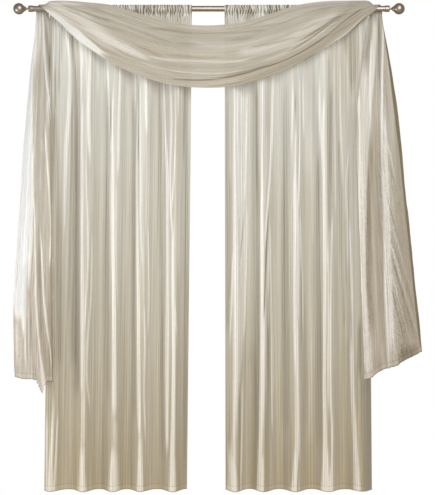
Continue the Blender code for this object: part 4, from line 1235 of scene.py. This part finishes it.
def build_scarf(cloth):
    """The one long sheet: left tail, swag and right tail."""
    rows, along = stations()
    across = np.linspace(0.0, 1.0, SCARF_COLUMNS + 1)
    across_grid, along_grid = np.broadcast_arrays(across[None, :], along[:, None])
    outer, inner = rows[:, 0:3], rows[:, 3:6]
    bulge, depth, part = rows[:, 6:7], rows[:, 7:8], rows[:, 8]
    middle = (outer + inner) / 2
    width = np.linalg.norm(outer - inner, axis=1)
    tail = np.clip(np.abs(part - 1), 0, 1)[:, None]
    unfolded = inner[:, None] + (outer - inner)[:, None] * across[None, :, None]
    outwards = grid_normals(unfolded)

    folds = fold_waves(across, part)
    tables = ((LEFT_CREASES, 2, -1.0), (SWAG_CREASES, 0, 1.0), (RIGHT_CREASES, 2, -1.0))
    for number, (creases, axis, side) in enumerate(tables):
        weight = np.clip(1 - np.abs(part - number), 0, 1)[:, None]
        folds += weight * side * creased(middle[:, axis], across, creases)
    folds *= SWAG_FOLDS + (1 - SWAG_FOLDS) * tail

    fine_share = np.interp(part, (0, 1, 2), FINE_SHARES)
    gathered = 1 + fine_share * (np.clip(SCARF_FLAT[0] / width, 1.0, MOST_GATHERED) - 1)
    steepness = np.sqrt((gathered**2 - 1) / WAVE_STRETCH)
    pleat_depth = (steepness * width / FINE_PLEATS / (2 * math.pi))[:, None]
    bent = across_grid + FINE_BEND * ripple(across_grid, along_grid, (8, 60), SCARF_SEED)
    coarse = ripple(bent, along_grid, (38, 30), SCARF_SEED + 1)
    fine = ripple(bent, along_grid, (86, 90), SCARF_SEED + 2)
    bark = 1 - 2 * np.abs(ripple(bent, along_grid, (44, 230), SCARF_SEED + 3))
    uneven = 1 + FINE_UNEVEN * ripple(bent, along_grid, (FINE_PLEATS, 9), SCARF_SEED + 4)
    wander = FINE_WANDER * ripple(across_grid, along_grid, (11, 14), SCARF_SEED + 5)
    pleats = uneven * np.sin(2 * math.pi * (FINE_PLEATS * bent + wander))
    crinkles = CRINKLE_SHARES[0] * coarse + CRINKLE_SHARES[1] * fine
    crown = 4 * across * (1 - across) * bulge
    points = unfolded + outwards * (crown + depth * (folds + crinkles) + pleat_depth * pleats)[:, :, None]
    corner = np.maximum(1 - np.abs(across - CORNER_SHARE) / CORNER_HALF_WIDTH, 0)
    lowered = ease((CORNER_FADE_HEIGHT - middle[:, 2]) / CORNER_FADE_DROP) * (part == 0.0)
    points[:, :, 2] -= CORNER_DROP * corner[None, :] * lowered[:, None]

    x, z = points[:, :, 0], points[:, :, 2]
    on_tails = tail * pleating(x, -z, TAIL_PLEATS, PLEAT_FADE, CRISP)
    on_swag = (1 - tail) * pleating(-z, x, SWAG_PLEATS, SWAG_PLEAT_FADE, SOFT)
    left_bark, right_bark = (np.interp(across, *zip(*table)) for table in (LEFT_BARK, RIGHT_BARK))
    barked = tail * np.where(part[:, None] < 1, left_bark, right_bark) * ease((BARK_START - z) / BARK_FADE)
    towards_room = 1 - 2 * tail
    raised = towards_room * (SWAG_PLEAT_LIFT * on_swag) - TAIL_PLEAT_LIFT * np.clip(on_tails, -1, 1)
    points += outwards * (raised - BARK_DEPTH * barked * bark)[:, :, None]

    # The pleats paint the scarf pale on its ridges, up to a painted highlight, and dark in its hollows and
    # creases: painted light and shade. Fine pleats that stand towards the room are painted paler too.
    bunched_and_painted_light = np.interp(part, (0, 1, 2), OPEN_BUNCHED)[:, None] + TAIL_TONE * on_tails + SWAG_TONE * on_swag
    bunched_and_painted_light += FINE_TONE * (coarse + fine + towards_room * pleats)
    numbers = {"bunched_and_painted_light": bunched_and_painted_light, "low": lowness(points), "bark": barked}
    piece = linked("scarf_sheer", sheet_mesh("scarf", points, SCARF_FLAT, numbers), cloth)
    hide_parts("scarf")


def build_stage():
    """The pale floor, the camera and the white surround."""
    mesh = bmesh.new()
    mesh.faces.new([mesh.verts.new((x, y, FLOOR_HEIGHT)) for x, y in FLOOR_CORNERS])
    data = bpy.data.meshes.new("floor")
    mesh.to_mesh(data)
    mesh.free()
    data.materials.append(floor_material())
    floor = bpy.data.objects.new("floor", data)
    bpy.context.scene.collection.objects.link(floor)

    camera = bpy.data.objects.new("camera", bpy.data.cameras.new("camera"))
    bpy.context.scene.collection.objects.link(camera)
    camera.location = CAMERA_PLACE
    camera.rotation_euler = (math.radians(90), 0.0, 0.0)
    camera.data.sensor_width = SENSOR
    camera.data.lens = SENSOR * -CAMERA_PLACE[1] / VIEW_HEIGHT
    bpy.context.scene.camera = camera

    world = bpy.data.worlds.new("white surround")
    bpy.context.scene.world = world
    world.use_nodes = True
    tree = world.node_tree
    tree.nodes.clear()
    seen = add(tree, "ShaderNodeLightPath").outputs["Is Camera Ray"]
    colour = mixed(tree, seen, GLOW, SEEN_WHITE)
    background = add(tree, "ShaderNodeBackground", {"Color": colour, "Strength": 1.0})
    add(tree, "ShaderNodeOutputWorld", {"Surface": background.outputs[0]})
    bpy.context.scene.view_settings.view_transform = "Standard"


def add_lamp(lamp):
    """A soft square lamp that faces a point."""
    data = bpy.data.lights.new(lamp.name, "AREA")
    data.size = lamp.size
    data.energy = lamp.power
    data.color = lamp.colour
    light = bpy.data.objects.new(lamp.name, data)
    light.location = lamp.place
    aim = Vector(lamp.target) - Vector(lamp.place)
    light.rotation_euler = aim.to_track_quat("-Z", "Y").to_euler()
    bpy.context.scene.collection.objects.link(light)


def main():
    """Every piece, the stage and the lamps."""
    metal = metal_material()
    build_rod(metal)
    for side_name, side in (("left", -1.0), ("right", 1.0)):
        build_end_cap(side_name, side, metal)
        build_finial(side_name, side, metal)
    # The low colours are darker and browner than the high ones: painted shade that deepens towards the hem.
    panel_cloth = cloth_material(
        "crinkled sheer",
        pale_high=(0.95, 0.945, 0.93, 1.0),
        pale_low=(0.86, 0.82, 0.75, 1.0),
        hollow_high=(0.645, 0.64, 0.575, 1.0),
        hollow_low=(0.355, 0.266, 0.108, 1.0),
        shade=(0.27, 0.22, 0.14, 1.0),
        clear_share=0.12,
        crinkle=0.5,
        streaked=1.0,
        flat=PANEL_FLAT,
    )
    # Here too the low colours are darker: painted shade towards the hem.
    scarf_cloth = cloth_material(
        "scarf sheer",
        pale_high=(0.90, 0.885, 0.85, 1.0),
        pale_low=(0.80, 0.755, 0.715, 1.0),
        hollow_high=(0.46, 0.42, 0.345, 1.0),
        hollow_low=(0.46, 0.39, 0.30, 1.0),
        shade=(0.22, 0.17, 0.10, 1.0),
        clear_share=0.04,
        crinkle=0.6,
        streaked=0.4,
        flat=SCARF_FLAT,
    )
    for panel in PANELS:
        build_panel(panel, panel_cloth)
    build_scarf(scarf_cloth)
    build_stage()
    for lamp in LAMPS:
        add_lamp(lamp)


main()
